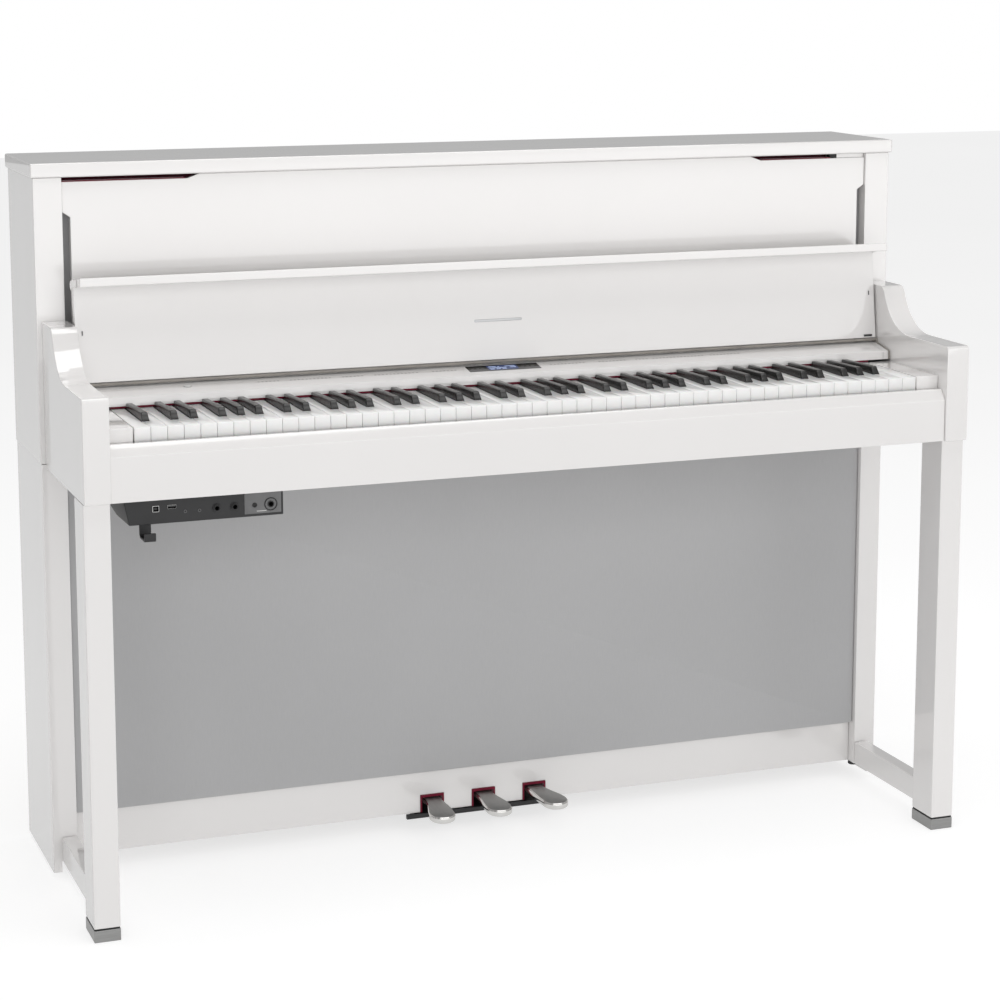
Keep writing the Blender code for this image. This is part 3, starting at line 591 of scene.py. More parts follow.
def add_natural(bm, index, back):
    """One natural, notched where its neighbouring sharps stand; returns its front edge."""
    left = KEYS.boundary(index) + KEYS.slit / 2
    right = KEYS.boundary(index + 1) - KEYS.slit / 2
    notch = KEYS.sharp_front - 0.0012
    reach = KEYS.half + 0.0011
    outline = [(left, KEYS.front), (right, KEYS.front)]
    right_sharp = KEYS.sharp_at(index + 1)
    left_sharp = KEYS.sharp_at(index)
    if right_sharp is None:
        outline += [(right, back)]
    else:
        outline += [(right, notch), (right_sharp - reach, notch), (right_sharp - reach, back)]
    if left_sharp is None:
        outline += [(left, back)]
    else:
        outline += [(left_sharp + reach, back), (left_sharp + reach, notch), (left, notch)]
    loops = add_rings(bm, [[(x, y, z) for x, y in outline] for z in (KEYS.bottom, KEYS.top)])
    return bm.edges.get((loops[1][0], loops[1][1]))


def naturals(indices, back):
    """Naturals with a soft front edge, and a fine radius everywhere else."""
    bm = bmesh.new()
    fronts = [add_natural(bm, index, back) for index in indices]
    bmesh.ops.bevel(bm, geom=fronts, offset=0.0013, segments=4, profile=0.5, affect="EDGES")
    round_edges(bm, 0.00035, 40.0)
    return bm


def sharp_ring(x, y, top, bottom):
    """Section of a sharp: straight stick below, narrowing cap with rounded shoulders."""
    rise = max(top - SHARP_BASE, 0.0002)
    radius = min(0.0013, 0.7 * rise)
    crown = KEYS.half - (KEYS.half - SHARP_CROWN_HALF) * rise / (KEYS.sharp_high - SHARP_BASE)
    shoulder = arc((crown - radius, SHARP_BASE + rise - radius), radius, 0.0, 90.0, 4)
    outline = mirrored([(KEYS.half, bottom), (KEYS.half, SHARP_BASE)] + shoulder)
    return [(x + a, y, z) for a, z in outline]


def add_sharp(bm, x, tail, tail_bottom):
    """One sharp: sloping front with a rounded brow, long top, then its hidden stick."""
    front, high = KEYS.sharp_front, KEYS.sharp_high
    brow = 0.0026
    slope = (high - SHARP_BASE) / (SHARP_CREST - front)
    stations = [(front, SHARP_BASE + 0.0003), (front + 0.0004, SHARP_BASE + 0.0012)]
    for y, sink in ((SHARP_CREST - 2.0 * brow, 0.0), (SHARP_CREST - brow, 0.0002)):
        stations.append((y, SHARP_BASE + slope * (y - front) - sink))
    stations += [(SHARP_CREST - 0.3 * brow, high - 0.0007), (SHARP_CREST + 0.5 * brow, high - 0.0001),
                 (SHARP_CREST + 1.6 * brow, high - 0.0001), (SHARP_CAP_END, high - SHARP_BACK_DROP),
                 (SHARP_CAP_END + 0.0001, SHARP_BASE)]
    rings = [sharp_ring(x, y, top, KEYS.bottom) for y, top in stations]
    for y, bottom in ((-0.0572, KEYS.bottom), (-0.057, tail_bottom), (tail, tail_bottom)):
        rings.append(sharp_ring(x, y, SHARP_BASE, bottom))
    add_rings(bm, rings)


def make_naturals():
    """Two runs of fixed naturals, each joined by a bar at its tails, and the moving octave."""
    for part, start, end in FIXED_RUNS:
        bm = naturals(range(start, end), FIXED_TAIL)
        add_box(bm, (KEYS.boundary(start) + 0.003, -0.052, KEYS.bottom + 0.0002),
                (KEYS.boundary(end) - 0.003, -0.0482, KEYS.bottom + 0.009))
        piece(f"naturals_{part}_keys", bm, "key_white", replaces="naturals_" + part)
    for step, note in enumerate("cdefgab"):
        bm = naturals([KEYS.first_moving + step], KEYS.tail)
        node = "key_" + note
        piece(node + "_natural", bm, "key_white", body=node, replaces=node)


def make_sharps():
    """Two runs of fixed sharps, each joined by a strip behind it, and the five that move."""
    strip_bottom = KEYS.bottom + STRIP_RISE
    for part, start, end in FIXED_RUNS:
        places = [KEYS.sharp_at(boundary) for boundary in range(start, end)]
        places = [x for x in places if x is not None]
        bm = bmesh.new()
        for x in places:
            add_sharp(bm, x, -0.0302, strip_bottom)
        add_box(bm, (places[0] - 0.003, -0.03, strip_bottom),
                (places[-1] + 0.003, -0.01, KEYS.top - 0.0005))
        piece(f"sharps_{part}_keys", bm, "key_black", replaces="sharps_" + part)
    for place, note in SHARP_PLACES:
        bm = bmesh.new()
        add_sharp(bm, KEYS.sharp_at(KEYS.first_moving + place), KEYS.tail, KEYS.bottom)
        node = f"key_{note}_sharp"
        piece(node + "_cap", bm, "key_black", body=node, replaces=node)


def make_felt_strip():
    """The rounded felt strip between the keys and the control panel."""
    low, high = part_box("nameboard_felt")
    middle = (low[2] + high[2]) / 2
    radius = (high[2] - low[2]) / 2
    outline = [(high[1], low[2]), (high[1], high[2])]
    outline += arc((low[1] + radius, middle), radius, 90.0, 270.0, 6)
    steps = 60
    rings = []
    for i in range(steps + 1):
        x = low[0] + (high[0] - low[0]) * i / steps
        rings.append([(x, y, z) for y, z in outline])
    tube("felt_strip", rings, "red_felt", replaces="nameboard_felt")


# ======== cloth
def make_speaker_cloth():
    """A frame of rails, and the cloth stretched over it and turned in at the back."""
    low, high = corners("speaker_cloth_panel")
    cloth = 0.0006
    rail = 0.03
    front, back = low.y + cloth + 0.0002, high.y - cloth - 0.0002
    inner = Vector((0.0009, 0.0, 0.0009))
    a, b = low + inner, high - inner
    rails = [((a.x, front, a.z), (b.x, back, a.z + rail)), ((a.x, front, b.z - rail), (b.x, back, b.z))]
    for x in (a.x, -rail / 2, b.x - rail):
        rails.append(((x, front, a.z + rail + 0.0002), (x + rail, back, b.z - rail - 0.0002)))
    blocks("cloth_frame", rails, "back_board", 0.0005)
    middle = (low + high) / 2
    half_w = (high.x - low.x) / 2
    half_h = (high.z - low.z) / 2
    turn_in = 0.014
    profile = [(turn_in, high.y), (0.0012, high.y), (0.0003, high.y - 0.0003),
               (0.0, high.y - 0.0012), (0.0, low.y + 0.0016), (0.0005, low.y + 0.0005),
               (0.0016, low.y)]
    rings = []
    for inset, y in profile:
        outline = rounded_rectangle(half_w - inset, half_h - inset, max(0.003 - inset, 0.001))
        rings.append([(middle.x + x, y, middle.z + z) for x, z in outline])
    bm = bmesh.new()
    loops = add_rings(bm, rings, "open")
    bm.faces.new(loops[-1])
    sheet = piece("speaker_cloth", bm, "speaker_cloth", 60.0, replaces="speaker_cloth_panel")
    solid = sheet.modifiers.new("thickness", "SOLIDIFY")
    solid.thickness = cloth
    solid.offset = -1.0


def make_slot_cloths():
    """Narrow cloth strips behind the sound slots at the upper panel's sides, a darker grey than the speaker cloth:
    painted shade for the slots.
    """
    panel_low, panel_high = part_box("upper_front_panel")
    width = 0.0352  # from the stile inwards
    bottom, top = panel_low[2] + 0.0015, panel_low[2] + 0.265
    front = panel_high[1] + 0.0003
    for name, side in SIDES:
        low_x, high_x = sorted((side * (panel_high[0] - 0.0002), side * (panel_high[0] - width)))
        strip = block(f"slot_cloth_{name}", (low_x, front, bottom), (high_x, front + 0.0012, top),
                      "slot_cloth", 0.0004)


# ======== upper case
def make_scoops():
    """Felt in the scoops under the lid, and on their back walls a darker copy of the red felt as painted shade;
    the right one ends at a rubber stop and a block.
    """
    low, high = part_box("upper_front_panel")
    lid_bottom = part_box("top_lid")[0][2]
    floor = top_frame("upper_front_panel", 0.56, (low[1] + high[1]) / 2).translation.z
    inner = 0.472
    shoulder = 0.03
    outer = high[0] - 0.0004
    stop = 0.593
    for part, reach, look, front, back, bottom, top in (
            ("felt", inner, "red_felt", low[1] + 0.0008, high[1] - 0.0003, floor + 0.0001,
             floor + 0.0012),
            # the back wall: the red felt darkened as painted shade
            ("wall", inner - shoulder, "maroon_felt", high[1] + 0.0018, high[1] + 0.0034,
             floor - 0.02, lid_bottom - 0.0006)):
        for name, start, end in (("left", -outer, -reach), ("right", reach, stop)):
            block(f"scoop_{part}_{name}", (start, front, bottom), (end, back, top), look, 0.0004)
    front, back = low[1] + 0.0035, high[1] - 0.0002
    block("lid_stop", (stop + 0.0005, front, floor + 0.0002),
          (stop + 0.0125, back, lid_bottom - 0.0005), "rubber", 0.0006)
    block("lid_stop_block", (stop + 0.0128, front, floor + 0.0002),
          (outer, back, lid_bottom - 0.001), "white_lacquer", 0.0006)


def make_lid_hinge():
    """A piano hinge along the back: knuckles in turn on case and lid, leaves and screws."""
    low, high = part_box("lid_hinge")
    axis = joint_point("lid_hinge")
    radius = (high[1] - low[1]) / 2
    count = 40
    step = (high[0] - low[0]) / count
    lower, upper = bmesh.new(), bmesh.new()
    for i in range(count):
        start = low[0] + i * step + 0.0003
        end = start + step - 0.0006
        rings = []
        for x, r in ((start, radius - 0.0003), (start + 0.0003, radius),
                     (end - 0.0003, radius), (end, radius - 0.0003)):
            rings.append([(x, y, z) for y, z in arc((axis.y, axis.z), r, 0.0, 345.0, 23)])
        add_rings(lower if i % 2 == 0 else upper, rings)
    leaf = 0.013
    back = axis.y + 0.0003
    add_box(lower, (low[0], back - 0.0022, axis.z - leaf - radius),
            (high[0], back - 0.0012, axis.z - radius + 0.0004))
    add_box(upper, (low[0], back, axis.z + radius - 0.0002),
            (high[0], back + 0.0009, axis.z + leaf + radius))
    piece("lid_hinge_lower", lower, "hinge_steel", 35.0, replaces="lid_hinge")
    piece("lid_hinge_upper", upper, "hinge_steel", 35.0, body="top_lid")
    for name, body, face, rise in (("lower", ROOT, back - 0.0012, -0.55 * leaf - radius),
                                   ("upper", "top_lid", back + 0.0009, 0.55 * leaf + radius)):
        places = [(low[0] + 0.06 + i * (high[0] - low[0] - 0.12) / 11, face, axis.z + rise)
                  for i in range(12)]
        screws("lid_hinge_screws_" + name, places, body, 0.0022)


def screws(name, places, body=ROOT, radius=0.0035):
    """Domed heads on a surface that faces backwards, each with a cross recess."""
    height = 0.42 * radius
    profile = [(radius, 0.0), (radius, 0.15 * height), (0.86 * radius, 0.62 * height),
               (0.6 * radius, 0.92 * height), (0.42 * radius, height)]
    count = 24
    cross = [0.36 * radius if i % 6 in (0, 1, 5) else 0.13 * radius for i in range(count)]
    levels = [([r] * count, rise) for r, rise in profile]
    levels += [(cross, height), ([0.8 * r for r in cross], 0.35 * height)]
    bm = bmesh.new()
    for x, y, z in places:
        add_rings(bm, [[(x + a, y + rise, z + b) for a, b in polar(radii)]
                       for radii, rise in levels])
    piece(name, bm, "hinge_steel", 35.0, body=body)


def make_back():
    """Battens, screws and a vent on the back, and the pins of the mains inlet."""
    low, high = corners("back_panel")
    face = high.y
    batten = 0.004
    lid_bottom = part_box("top_lid")[0][2]
    middle_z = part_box("keybed")[0][2] + 0.009
    for name, bottom, top in (("top", high.z - 0.032, lid_bottom - 0.0012),
                              ("middle", middle_z - 0.02, middle_z + 0.02)):
        block(f"back_batten_{name}", (low.x + 0.001, face + 0.0002, bottom),
              (high.x - 0.001, face + batten, top), "white_lacquer", 0.0008)
    places = []
    for i in range(10):
        x = low.x + 0.025 + i * (high.x - low.x - 0.05) / 9
        places += [(x, face + batten, middle_z), (x, face + batten, high.z - 0.018),
                   (x, face + 0.0001, low.z + 0.015)]
    for z in (0.18, 0.33, 0.48, 0.76, 0.89):
        for x in (low.x + 0.012, high.x - 0.012):
            places.append((x, face + 0.0001, z))
    screws("back_screws", places)
    half_w, half_h, rim = 0.06, 0.035, 0.004
    bars = [(-half_w, half_w, -half_h, -half_h + rim, 0.0025),
            (-half_w, half_w, half_h - rim, half_h, 0.0025),
            (-half_w, -half_w + rim, -half_h + rim, half_h - rim, 0.0025),
            (half_w - rim, half_w, -half_h + rim, half_h - rim, 0.0025)]
    slats = 8
    for i in range(slats):
        z = -half_h + rim + (2 * half_h - 2 * rim) * (i + 0.5) / slats
        bars.append((-half_w + rim, half_w - rim, z - 0.0018, z + 0.0018, 0.0018))
    vent = Vector((0.34, face + 0.0002, 0.9))
    blocks("back_vent", [(vent + Vector((x0, 0.0, z0)), vent + Vector((x1, depth, z1)))
                         for x0, x1, z0, z1, depth in bars], "black_plastic", 0.0004)
    low, high = (Vector(corner) for corner in OPENINGS["power_socket"])
    middle = (low + high) / 2
    blocks("inlet_pins", [((middle.x + x - 0.0012, low.y, middle.z - 0.0012),
                           (middle.x + x + 0.0012, high.y - 0.003, middle.z + 0.0012))
                          for x in (-0.0042, 0.0042)], "socket_metal", 0.0005)


# ======== control panel and cover
# X ranges of the flush touch fields along the panel
TOUCH_FIELDS = ((-0.389, -0.352), (-0.34, -0.272), (-0.258, -0.223), (-0.209, -0.135),
                (-0.115, -0.076), (0.075, 0.136), (0.155, 0.205), (0.217, 0.243),
                (0.248, 0.336), (0.345, 0.4))


def make_touch_fields():
    """Rows of small printed dashes, one row to each touch field."""
    window_low, window_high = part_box("display_window")
    at = top_frame("control_panel", 0.2, (window_low[1] + window_high[1]) / 2)
    dash = gap = 0.003
    dashes = []
    for start, end in TOUCH_FIELDS:
        count = int((end - start + gap) / (dash + gap))
        first = (start + end) / 2 - (count * (dash + gap) - gap) / 2 - at.translation.x
        for i in range(count):
            x = first + i * (dash + gap)
            dashes.append(((x, -0.0015, 0.00002), (x + dash, 0.0015, 0.0001)))
    blocks("touch_fields", dashes, "grey_print", 0.00002, at)


def make_panel_seams():
    """Fine joint lines near both ends, over the panel's front and top."""
    low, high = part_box("control_panel")
    tree = surface_tree("control_panel")
    half_line = 0.000175
    for name, side in SIDES:
        bm = bmesh.new()
        for distance in (0.008, 0.0105):
            x = side * (high[0] - distance)
            rays = [((x, low[1] - 0.1, low[2] + rise), BACKWARD) for rise in (0.0006, 0.006, 0.011)]
            rays += [((x, low[1] + reach, ABOVE), DOWN) for reach in (0.0042, 0.02, 0.043)]
            rings = []
            for start, direction in rays:
                point, normal, _, _ = tree.ray_cast(Vector(start), direction)
                lift, sink = normal * 0.00012, normal * -0.0004
                rings.append([point + lift - RIGHT * half_line, point + lift + RIGHT * half_line,
                              point + sink + RIGHT * half_line, point + sink - RIGHT * half_line])
            add_rings(bm, rings)
        piece(f"panel_seam_{name}", bm, "grey_print", 30.0)


def make_power_ring():
    """A thin ring round the power button, in the frame of the panel beside it."""
    low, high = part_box("power_button")
    beside = 0.02
    at = top_frame("control_panel", (low[0] + high[0]) / 2 + beside, (low[1] + high[1]) / 2)
    turned("power_ring", at @ Matrix.Translation((-beside, 0.0, 0.0)),
           [(0.0056, 0.00005), (0.0056, 0.0003), (0.0064, 0.0003), (0.0067, 0.00005)],
           "white_plastic")


def make_display():
    """A lit field behind the dark window, with plain bars on it."""
    low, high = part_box("display_window")
    at = top_frame("display_window", (low[0] + high[0]) / 2, (low[1] + high[1]) / 2)
    width = high[0] - low[0]
    field_low, field_high = -0.22 * width, 0.2 * width
    half = 0.36 * (high[1] - low[1])
    block("display_field", (field_low, -half, 0.00002), (field_high, half, 0.00009),
          "lit_display", 0.00002, at)
    bars = []
    span = field_high - field_low
    for start, end, row in ((0.06, 0.3, 0.55), (0.36, 0.42, 0.55), (0.6, 0.94, 0.55),
                            (0.06, 0.62, -0.05), (0.74, 0.94, -0.05), (0.06, 0.2, -0.6),
                            (0.26, 0.4, -0.6), (0.46, 0.6, -0.6)):
        y = row * half
        bars.append(((field_low + start * span, y - 0.0008, 0.0001),
                     (field_low + end * span, y + 0.0008, 0.00016)))
    blocks("display_bars", bars, "pale_print", 0.00002, at)
    marks = [((share * width - 0.0022, -0.0003, 0.00002), (share * width + 0.0022, 0.0003, 0.00008))
             for share in (-0.43, -0.36, -0.29, 0.27, 0.34, 0.41)]
    blocks("display_marks", marks, "grey_print", 0.00002, at, slot="display_glass")


def pill(name, at, half_w, half_h, height, look):
    """A flat plate with round ends and a fine edge, fixed to the cover."""
    levels = ((0.0, 0.00003), (0.0, 0.7 * height), (0.0002, height))
    rings = rounded_levels(half_w, half_h, 0.95 * min(half_w, half_h), 1.0, levels, 8)
    tube(name, rings, look, at=at, body="fallboard")


def make_cover_details():
    """The inlay in the open cover's face, its small pads and a catch by the hinge."""
    hinge = joint_point("fallboard_hinge")
    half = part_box("fallboard")[1][0]

    def on_cover(x, height):
        return surface_frame("fallboard", (x, -0.5, hinge.z + height), BACKWARD)

    pill("cover_inlay", on_cover(0.0, 0.063), 0.039, 0.002, 0.0003, "inlay_silver")
    for name, side in SIDES:
        pill(f"cover_pad_{name}", on_cover(side * (half - 0.01), 0.075), 0.0008, 0.0035, 0.0012,
             "grey_plastic")
    block("cover_catch", (-0.007, -0.0016, 0.00005), (0.007, 0.0016, 0.0016), "black_plastic",
          0.0005, on_cover(half - 0.0145, 0.007), "fallboard")


# ======== sockets
def holed_plate(name, at, half_w, half_h, hole, look):
    """A rectangular plate round the frame's origin, with one round hole through it."""
    radius, thickness = 0.0042, 0.0008
    count = 48
    outer, inner = [], []
    for i in range(count):
        angle = TAU * (i + 0.5) / count
        dx, dy = math.cos(angle), math.sin(angle)
        reach = min((math.copysign(half_w, dx) - hole[0]) / dx,
                    (math.copysign(half_h, dy) - hole[1]) / dy)
        outer.append((hole[0] + reach * dx, hole[1] + reach * dy))
        inner.append((hole[0] + radius * dx, hole[1] + radius * dy))
    for corner in ((half_w, half_h), (-half_w, half_h), (-half_w, -half_h), (half_w, -half_h)):
        nearest = min(range(count), key=lambda i: math.dist(outer[i], corner))
        outer[nearest] = corner
    levels = ((outer, 0.00005), (outer, thickness), (inner, thickness), (inner, 0.00005))
    tube(name, [[(x, y, z) for x, y in outline] for outline, z in levels], look, 30.0, "join", at)


def bezel(name, at, half_w, half_h, wall, depth, proud):
    """A rectangular metal frame round a socket, sunk into it and slightly proud."""
    levels = ((0.0, -depth), (0.0, proud - 0.0002), (0.0002, proud), (wall - 0.0001, proud),
              (wall, proud - 0.0002), (wall, -depth))
    rings = rounded_levels(half_w, half_h, 0.001, 0.5, levels)
    tube(name, rings, "socket_metal", 35.0, "join", at)


def make_sockets():
    """Metal frames, tongues, collars and the grey plate on the socket box's front."""
    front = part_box("jack_box")[0][1]
    facing = Matrix((RIGHT, -DOWN, -BACKWARD)).transposed().to_4x4()

    def at(x, z):
        return Matrix.Translation((x, front, z)) @ facing

    def centre(name):
        low, high = OPENINGS[name]
        return (low[0] + high[0]) / 2, (low[2] + high[2]) / 2

    device = at(*centre("usb_device_socket"))
    bezel("device_socket_frame", device, 0.0048, 0.0045, 0.0008, -0.00005, 0.0008)
    block("device_socket_tongue", (-0.0024, -0.0016, -0.0125), (0.0024, 0.0016, -0.001),
          "black_plastic", 0.0003, device)
    memory = at(*centre("usb_memory_socket"))
    bezel("memory_socket_frame", memory, 0.0063, 0.0027, 0.0004, 0.011, 0.0003)
    block("memory_socket_tongue", (-0.005, 0.0002, -0.012), (0.005, 0.0016, -0.0012),
          "grey_plastic", 0.0002, memory)
    collar = [(0.0045, 0.0), (0.0062, 0.0), (0.0062, 0.0011), (0.0058, 0.0015), (0.0047, 0.0015),
              (0.0046, 0.0033), (0.0043, 0.0036), (0.0034, 0.0036), (0.0033, 0.0032), (0.0033, 0.0)]
    collar = [(radius, height + 0.00005) for radius, height in collar]
    for name in ("headphone_socket_a", "headphone_socket_b"):
        turned(name + "_collar", at(*centre(name)), collar, "black_plastic")
    for name, x in (("a", -0.54), ("b", -0.5196)):
        turned(f"small_socket_{name}", at(x, 0.605),
               [(0.0024, 0.00005), (0.0024, 0.0006), (0.0021, 0.0008), (0.0015, 0.0008),
                (0.0013, 0.0005), (0.0013, 0.00005)], "grey_plastic")
        # a black disc sunk in the ring: painted shade for the socket's bore
        turned(f"small_socket_bore_painted_shade_{name}", at(x, 0.605), [(0.0012, 0.00005), (0.0012, 0.0002)],
               "rubber", "cap")
    make_input_plate(at, centre("input_socket"))


def make_input_plate(at, socket):
    """The lighter plate with a small jack and a large ringed one."""
    left, right = -0.4547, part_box("jack_box")[1][0] - 0.0033
    low, high = 0.594, 0.628
    middle = ((left + right) / 2, (low + high) / 2)
    hole = (socket[0] - middle[0], socket[1] - middle[1])
    holed_plate("input_plate", at(*middle), (right - left) / 2, (high - low) / 2, hole, "plate_grey")
    turned("input_ring", at(*socket),
           [(0.0082, 0.0009), (0.0095, 0.0009), (0.0095, 0.0016), (0.0091, 0.002),
            (0.0086, 0.002), (0.0082, 0.0016)], "black_plastic")
    turned("input_barrel", at(*socket),
           [(0.0033, 0.00005), (0.0041, 0.00005), (0.0046, 0.0009), (0.0046, 0.0024),
            (0.0042, 0.0028), (0.0036, 0.0028), (0.0033, 0.0024)], "black_plastic")
    small = at(-0.44, socket[1])
    turned("small_input_ring", small,
           [(0.002, 0.0009), (0.0035, 0.0009), (0.0035, 0.0016), (0.0032, 0.0019),
            (0.0023, 0.0019), (0.002, 0.0016)], "black_plastic")
    # a black disc in the ring's hole: painted shade for the jack's bore
    turned("small_input_bore_painted_shade", small, [(0.0019, 0.0009), (0.0019, 0.001)], "rubber", "cap")
    block("input_mark", (-0.007, -0.0005, 0.0009), (0.007, 0.0005, 0.001), "white_plastic",
          0.00002, at(-0.43, low + 0.0035), slot="black_plastic")


# ======== pedals and feet
PEDALS = ("soft", "sostenuto", "damper")
PEDAL_ARM_SHARE = 0.673  # width of a pedal's arm over that of its head
PEDAL_BEND = 0.05  # Y where the outer pedals start to lean sideways
PEDAL_HEAD = -0.013  # Y where a pedal is widest and its lean ends
PEDAL_DROP = 0.0015  # how much lower the tip is than the arm


def pedal_half(y, tip, head, arm):
    """Half width of a pedal at a distance along it."""
    if y > PEDAL_HEAD:
        blend = min(1.0, (y - PEDAL_HEAD) / 0.06)
        return head + (arm - head) * blend * blend * (3.0 - 2.0 * blend)
    reach = min(1.0, (PEDAL_HEAD - y) / (PEDAL_HEAD - tip))
    return head * math.sqrt(max(0.0, 1.0 - reach ** 2.6))


def pedal_plan(tip, back, head, arm):
    """Plan outline of a pedal round its middle line, from the back and round the tip."""
    steps = 40
    ys = [back, 0.056, 0.047, 0.038, 0.029, 0.02, 0.011, 0.002, -0.006, PEDAL_HEAD]
    for i in range(1, steps):
        ys.append(PEDAL_HEAD - (PEDAL_HEAD - tip) * math.sin(math.pi / 2 * i / steps))
    right = [(pedal_half(y, tip, head, arm), y) for y in ys]
    return right + [(0.0, tip)] + [(-x, y) for x, y in reversed(right)]


def inset_plan(plan, distance):
    """The plan moved inwards along its normals."""
    moved = []
    for i, point in enumerate(plan):
        along = (Vector(plan[(i + 1) % len(plan)]) - Vector(plan[i - 1])).normalized()
        moved.append(Vector(point) + Vector((along.y, -along.x)) * distance)
    return moved


def cap_across(bm, loop):
    """Close a symmetric outline with strips from side to side, so that it can bend."""
    last = len(loop) - 1
    tip = last // 2
    for i in range(tip - 1):
        bm.faces.new((loop[i], loop[i + 1], loop[last - 1 - i], loop[last - i]))
    bm.faces.new((loop[tip - 1], loop[tip], loop[tip + 1]))


def make_pedals():
    """Plated pedals: satin flat top, a fine groove round it, and a rolled, polished rim."""
    middle_low, middle_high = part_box("pedal_sostenuto")
    head = (middle_high[0] - middle_low[0]) / 2
    for name in PEDALS:
        node = "pedal_" + name
        low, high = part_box(node)
        x = joint_point(node + "_press").x
        tip = [v.co.x for v in NODES[node].data.vertices if v.co.y < low[1] + 0.001]
        splay = sum(tip) / len(tip) - x
        plan = pedal_plan(low[1], high[1], head, PEDAL_ARM_SHARE * head)
        bottom, top = low[2] + PEDAL_DROP + 0.0004, high[2]
        levels = ((0.0022, bottom), (0.0009, bottom + 0.0009), (0.0, bottom + 0.0026),
                  (0.0, top - 0.003), (0.0003, top - 0.0021), (0.0006, top - 0.0018),
                  (0.0008, top - 0.0024), (0.0013, top - 0.0024), (0.0014, top - 0.0004),
                  (0.0019, top))
        bm = bmesh.new()
        loops = add_rings(bm, [[(p[0], p[1], z) for p in inset_plan(plan, inset)]
                               for inset, z in levels], "open")
        cap_across(bm, loops[0])
        cap_across(bm, loops[-1])
        for face in bm.faces:
            if face.calc_center_median().z > top - 0.0003:
                face.material_index = 1
        for v in bm.verts:
            lean = min(1.0, max(0.0, (PEDAL_BEND - v.co.y) / (PEDAL_BEND - PEDAL_HEAD))) ** 1.3
            v.co.x += x + splay * lean
            v.co.z -= PEDAL_DROP * max(0.0, v.co.y / low[1])
        plate = piece(node + "_plate", bm, "pedal_rim", body=node, replaces=node)
        plate.data.materials.append(MAT["pedal_top"])


def make_slot_linings():
    """Felt round the sides and top of each pedal slot in the kick board."""
    board_low, board_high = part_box("kick_board")
    tree = surface_tree("kick_board")
    side_wall, top_wall, radius = 0.0026, 0.0042, 0.002
    bottom = board_low[2] + 0.0003
    for name in PEDALS:
        low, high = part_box("pedal_" + name)
        x = joint_point(f"pedal_{name}_press").x
        inside = Vector((x, (board_low[1] + board_high[1]) / 2, (low[2] + high[2]) / 2))
        top = tree.ray_cast(inside, -DOWN)[0].z - 0.0002
        half = tree.ray_cast(inside, RIGHT)[0].x - x - 0.0002
        outlines = []
        for a, z in ((half, top), (half - side_wall, top - top_wall)):
            outlines.append(mirrored([(a, bottom)] + arc((a - radius, z - radius), radius, 0.0, 90.0, 4)))
        outline = outlines[0] + list(reversed(outlines[1]))
        bm = bmesh.new()
        add_rings(bm, [[(x + a, y, z) for a, z in outline]
                       for y in (board_low[1] - 0.0014, board_high[1] + 0.001)])
        round_edges(bm, 0.0004, 60.0)
        piece(f"slot_lining_{name}", bm, "red_felt")


def make_foot_neck_painted_shade():
    """A black band round the neck between each shoe and its leg: painted shade for the shadow gap there."""
    for name, _ in SIDES:
        low, high = corners("foot_cap_" + name)
        middle = (low + high) / 2
        half = (high - low) / 2
        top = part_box("front_leg_" + name)[0][2]
        base = top - 0.0018
        levels = ((0.0011, base), (0.0009, base + 0.0003), (0.0009, top - 0.0004),
                  (0.0011, top - 0.0001), (0.0028, top - 0.0001), (0.0028, base))
        rings = rounded_levels(half.x, half.y, 0.0012, 0.0, levels)
        at = Matrix.Translation((middle.x, middle.y, 0.0))
        tube(f"foot_neck_painted_shade_{name}", rings, "rubber", 35.0, "join", at)


def make_glides():
    """Black glides under the posts, beside the kick board's ends."""
    low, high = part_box("kick_board")
    for name, side in SIDES:
        at = Matrix.Translation((side * (high[0] + 0.0061), low[1] - 0.006, low[2] - 0.0052))
        turned(f"glide_{name}", at, [(0.0066, 0.0), (0.008, 0.0012), (0.008, 0.004), (0.006, 0.005)],
               "rubber", "cap")


# ======== floor, light, camera
def make_floor():
    bm = bmesh.new()
    bmesh.ops.create_grid(bm, x_segments=2, y_segments=2, size=14.0)
    mesh_object("floor", bm, "floor_white", 30.0)


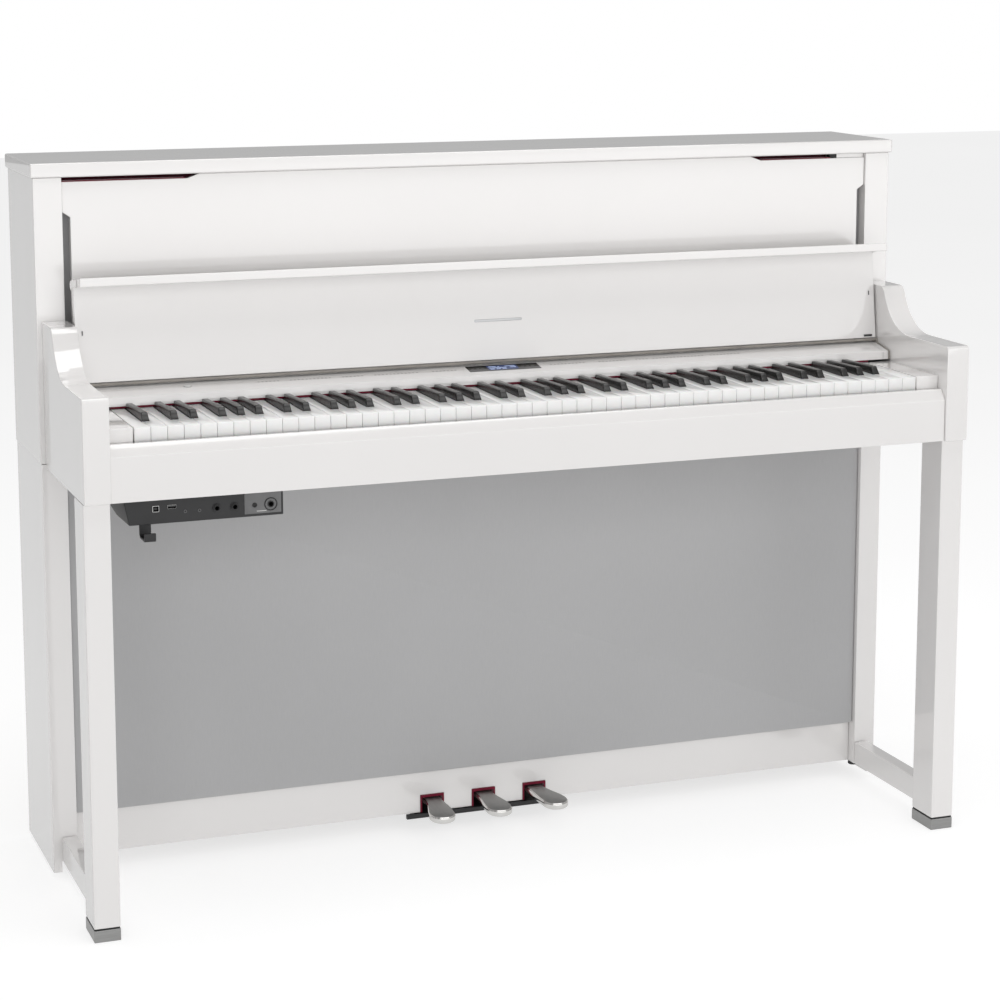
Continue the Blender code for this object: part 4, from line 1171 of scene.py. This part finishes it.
def area_light(name, place, target, size, radiance):
    """A soft box aimed at a point, hidden from the camera."""
    light = bpy.data.lights.new(name, "AREA")
    light.shape = "RECTANGLE"
    light.size, light.size_y = size
    light.energy = radiance * math.pi * size[0] * size[1]
    obj = bpy.data.objects.new(name, light)
    obj.location = place
    obj.rotation_euler = (Vector(target) - Vector(place)).to_track_quat("-Z", "Y").to_euler()
    obj.visible_camera = False
    bpy.context.scene.collection.objects.link(obj)


def make_lights():
    """A bright backdrop, dimmer on the left, a large soft box in front and one overhead."""
    world = bpy.data.worlds.new("studio")
    sky = Nodes(world, "Background")
    side = sky.add("ShaderNodeSeparateXYZ", Vector=sky.coordinates["Generated"]).outputs["X"]
    around = sky.remap(side, 0.34, 0.42, -0.9, -0.1)
    sky.set(Color=(1.0, 1.0, 1.0), Strength=sky.remap(sky.camera_ray(), around, 1.0))
    bpy.context.scene.world = world
    area_light("soft_box_front", (0.2, -4.6, 1.4), (0.0, 0.0, 0.5), (7.5, 3.6), 1.15)
    area_light("soft_box_top", (0.0, -0.4, 4.2), (0.0, 0.0, 0.5), (4.0, 3.0), 2.0)
    bpy.context.scene.view_settings.view_transform = "Standard"


def make_camera():
    """The viewing angle: left of centre, above the lid, looking slightly down."""
    camera = bpy.data.cameras.new("camera")
    focal_share = 2.545914  # focal length over the picture's width
    camera.sensor_width = 36.0
    camera.lens = focal_share * camera.sensor_width
    camera.shift_y = -0.125
    obj = bpy.data.objects.new("camera", camera)
    obj.location = (-1.352884, -3.623767, 1.372128)
    obj.rotation_euler = (math.pi / 2 - 0.163099, 0.0, -0.35915)
    bpy.context.scene.collection.objects.link(obj)
    bpy.context.scene.camera = obj


# ======== build
make_materials()
dress_cad_nodes()
make_naturals()
make_sharps()
make_felt_strip()
make_speaker_cloth()
make_slot_cloths()
make_scoops()
make_lid_hinge()
make_back()
make_touch_fields()
make_panel_seams()
make_power_ring()
make_display()
make_cover_details()
make_sockets()
make_pedals()
make_slot_linings()
make_foot_neck_painted_shade()
make_glides()
make_floor()
make_lights()
make_camera()
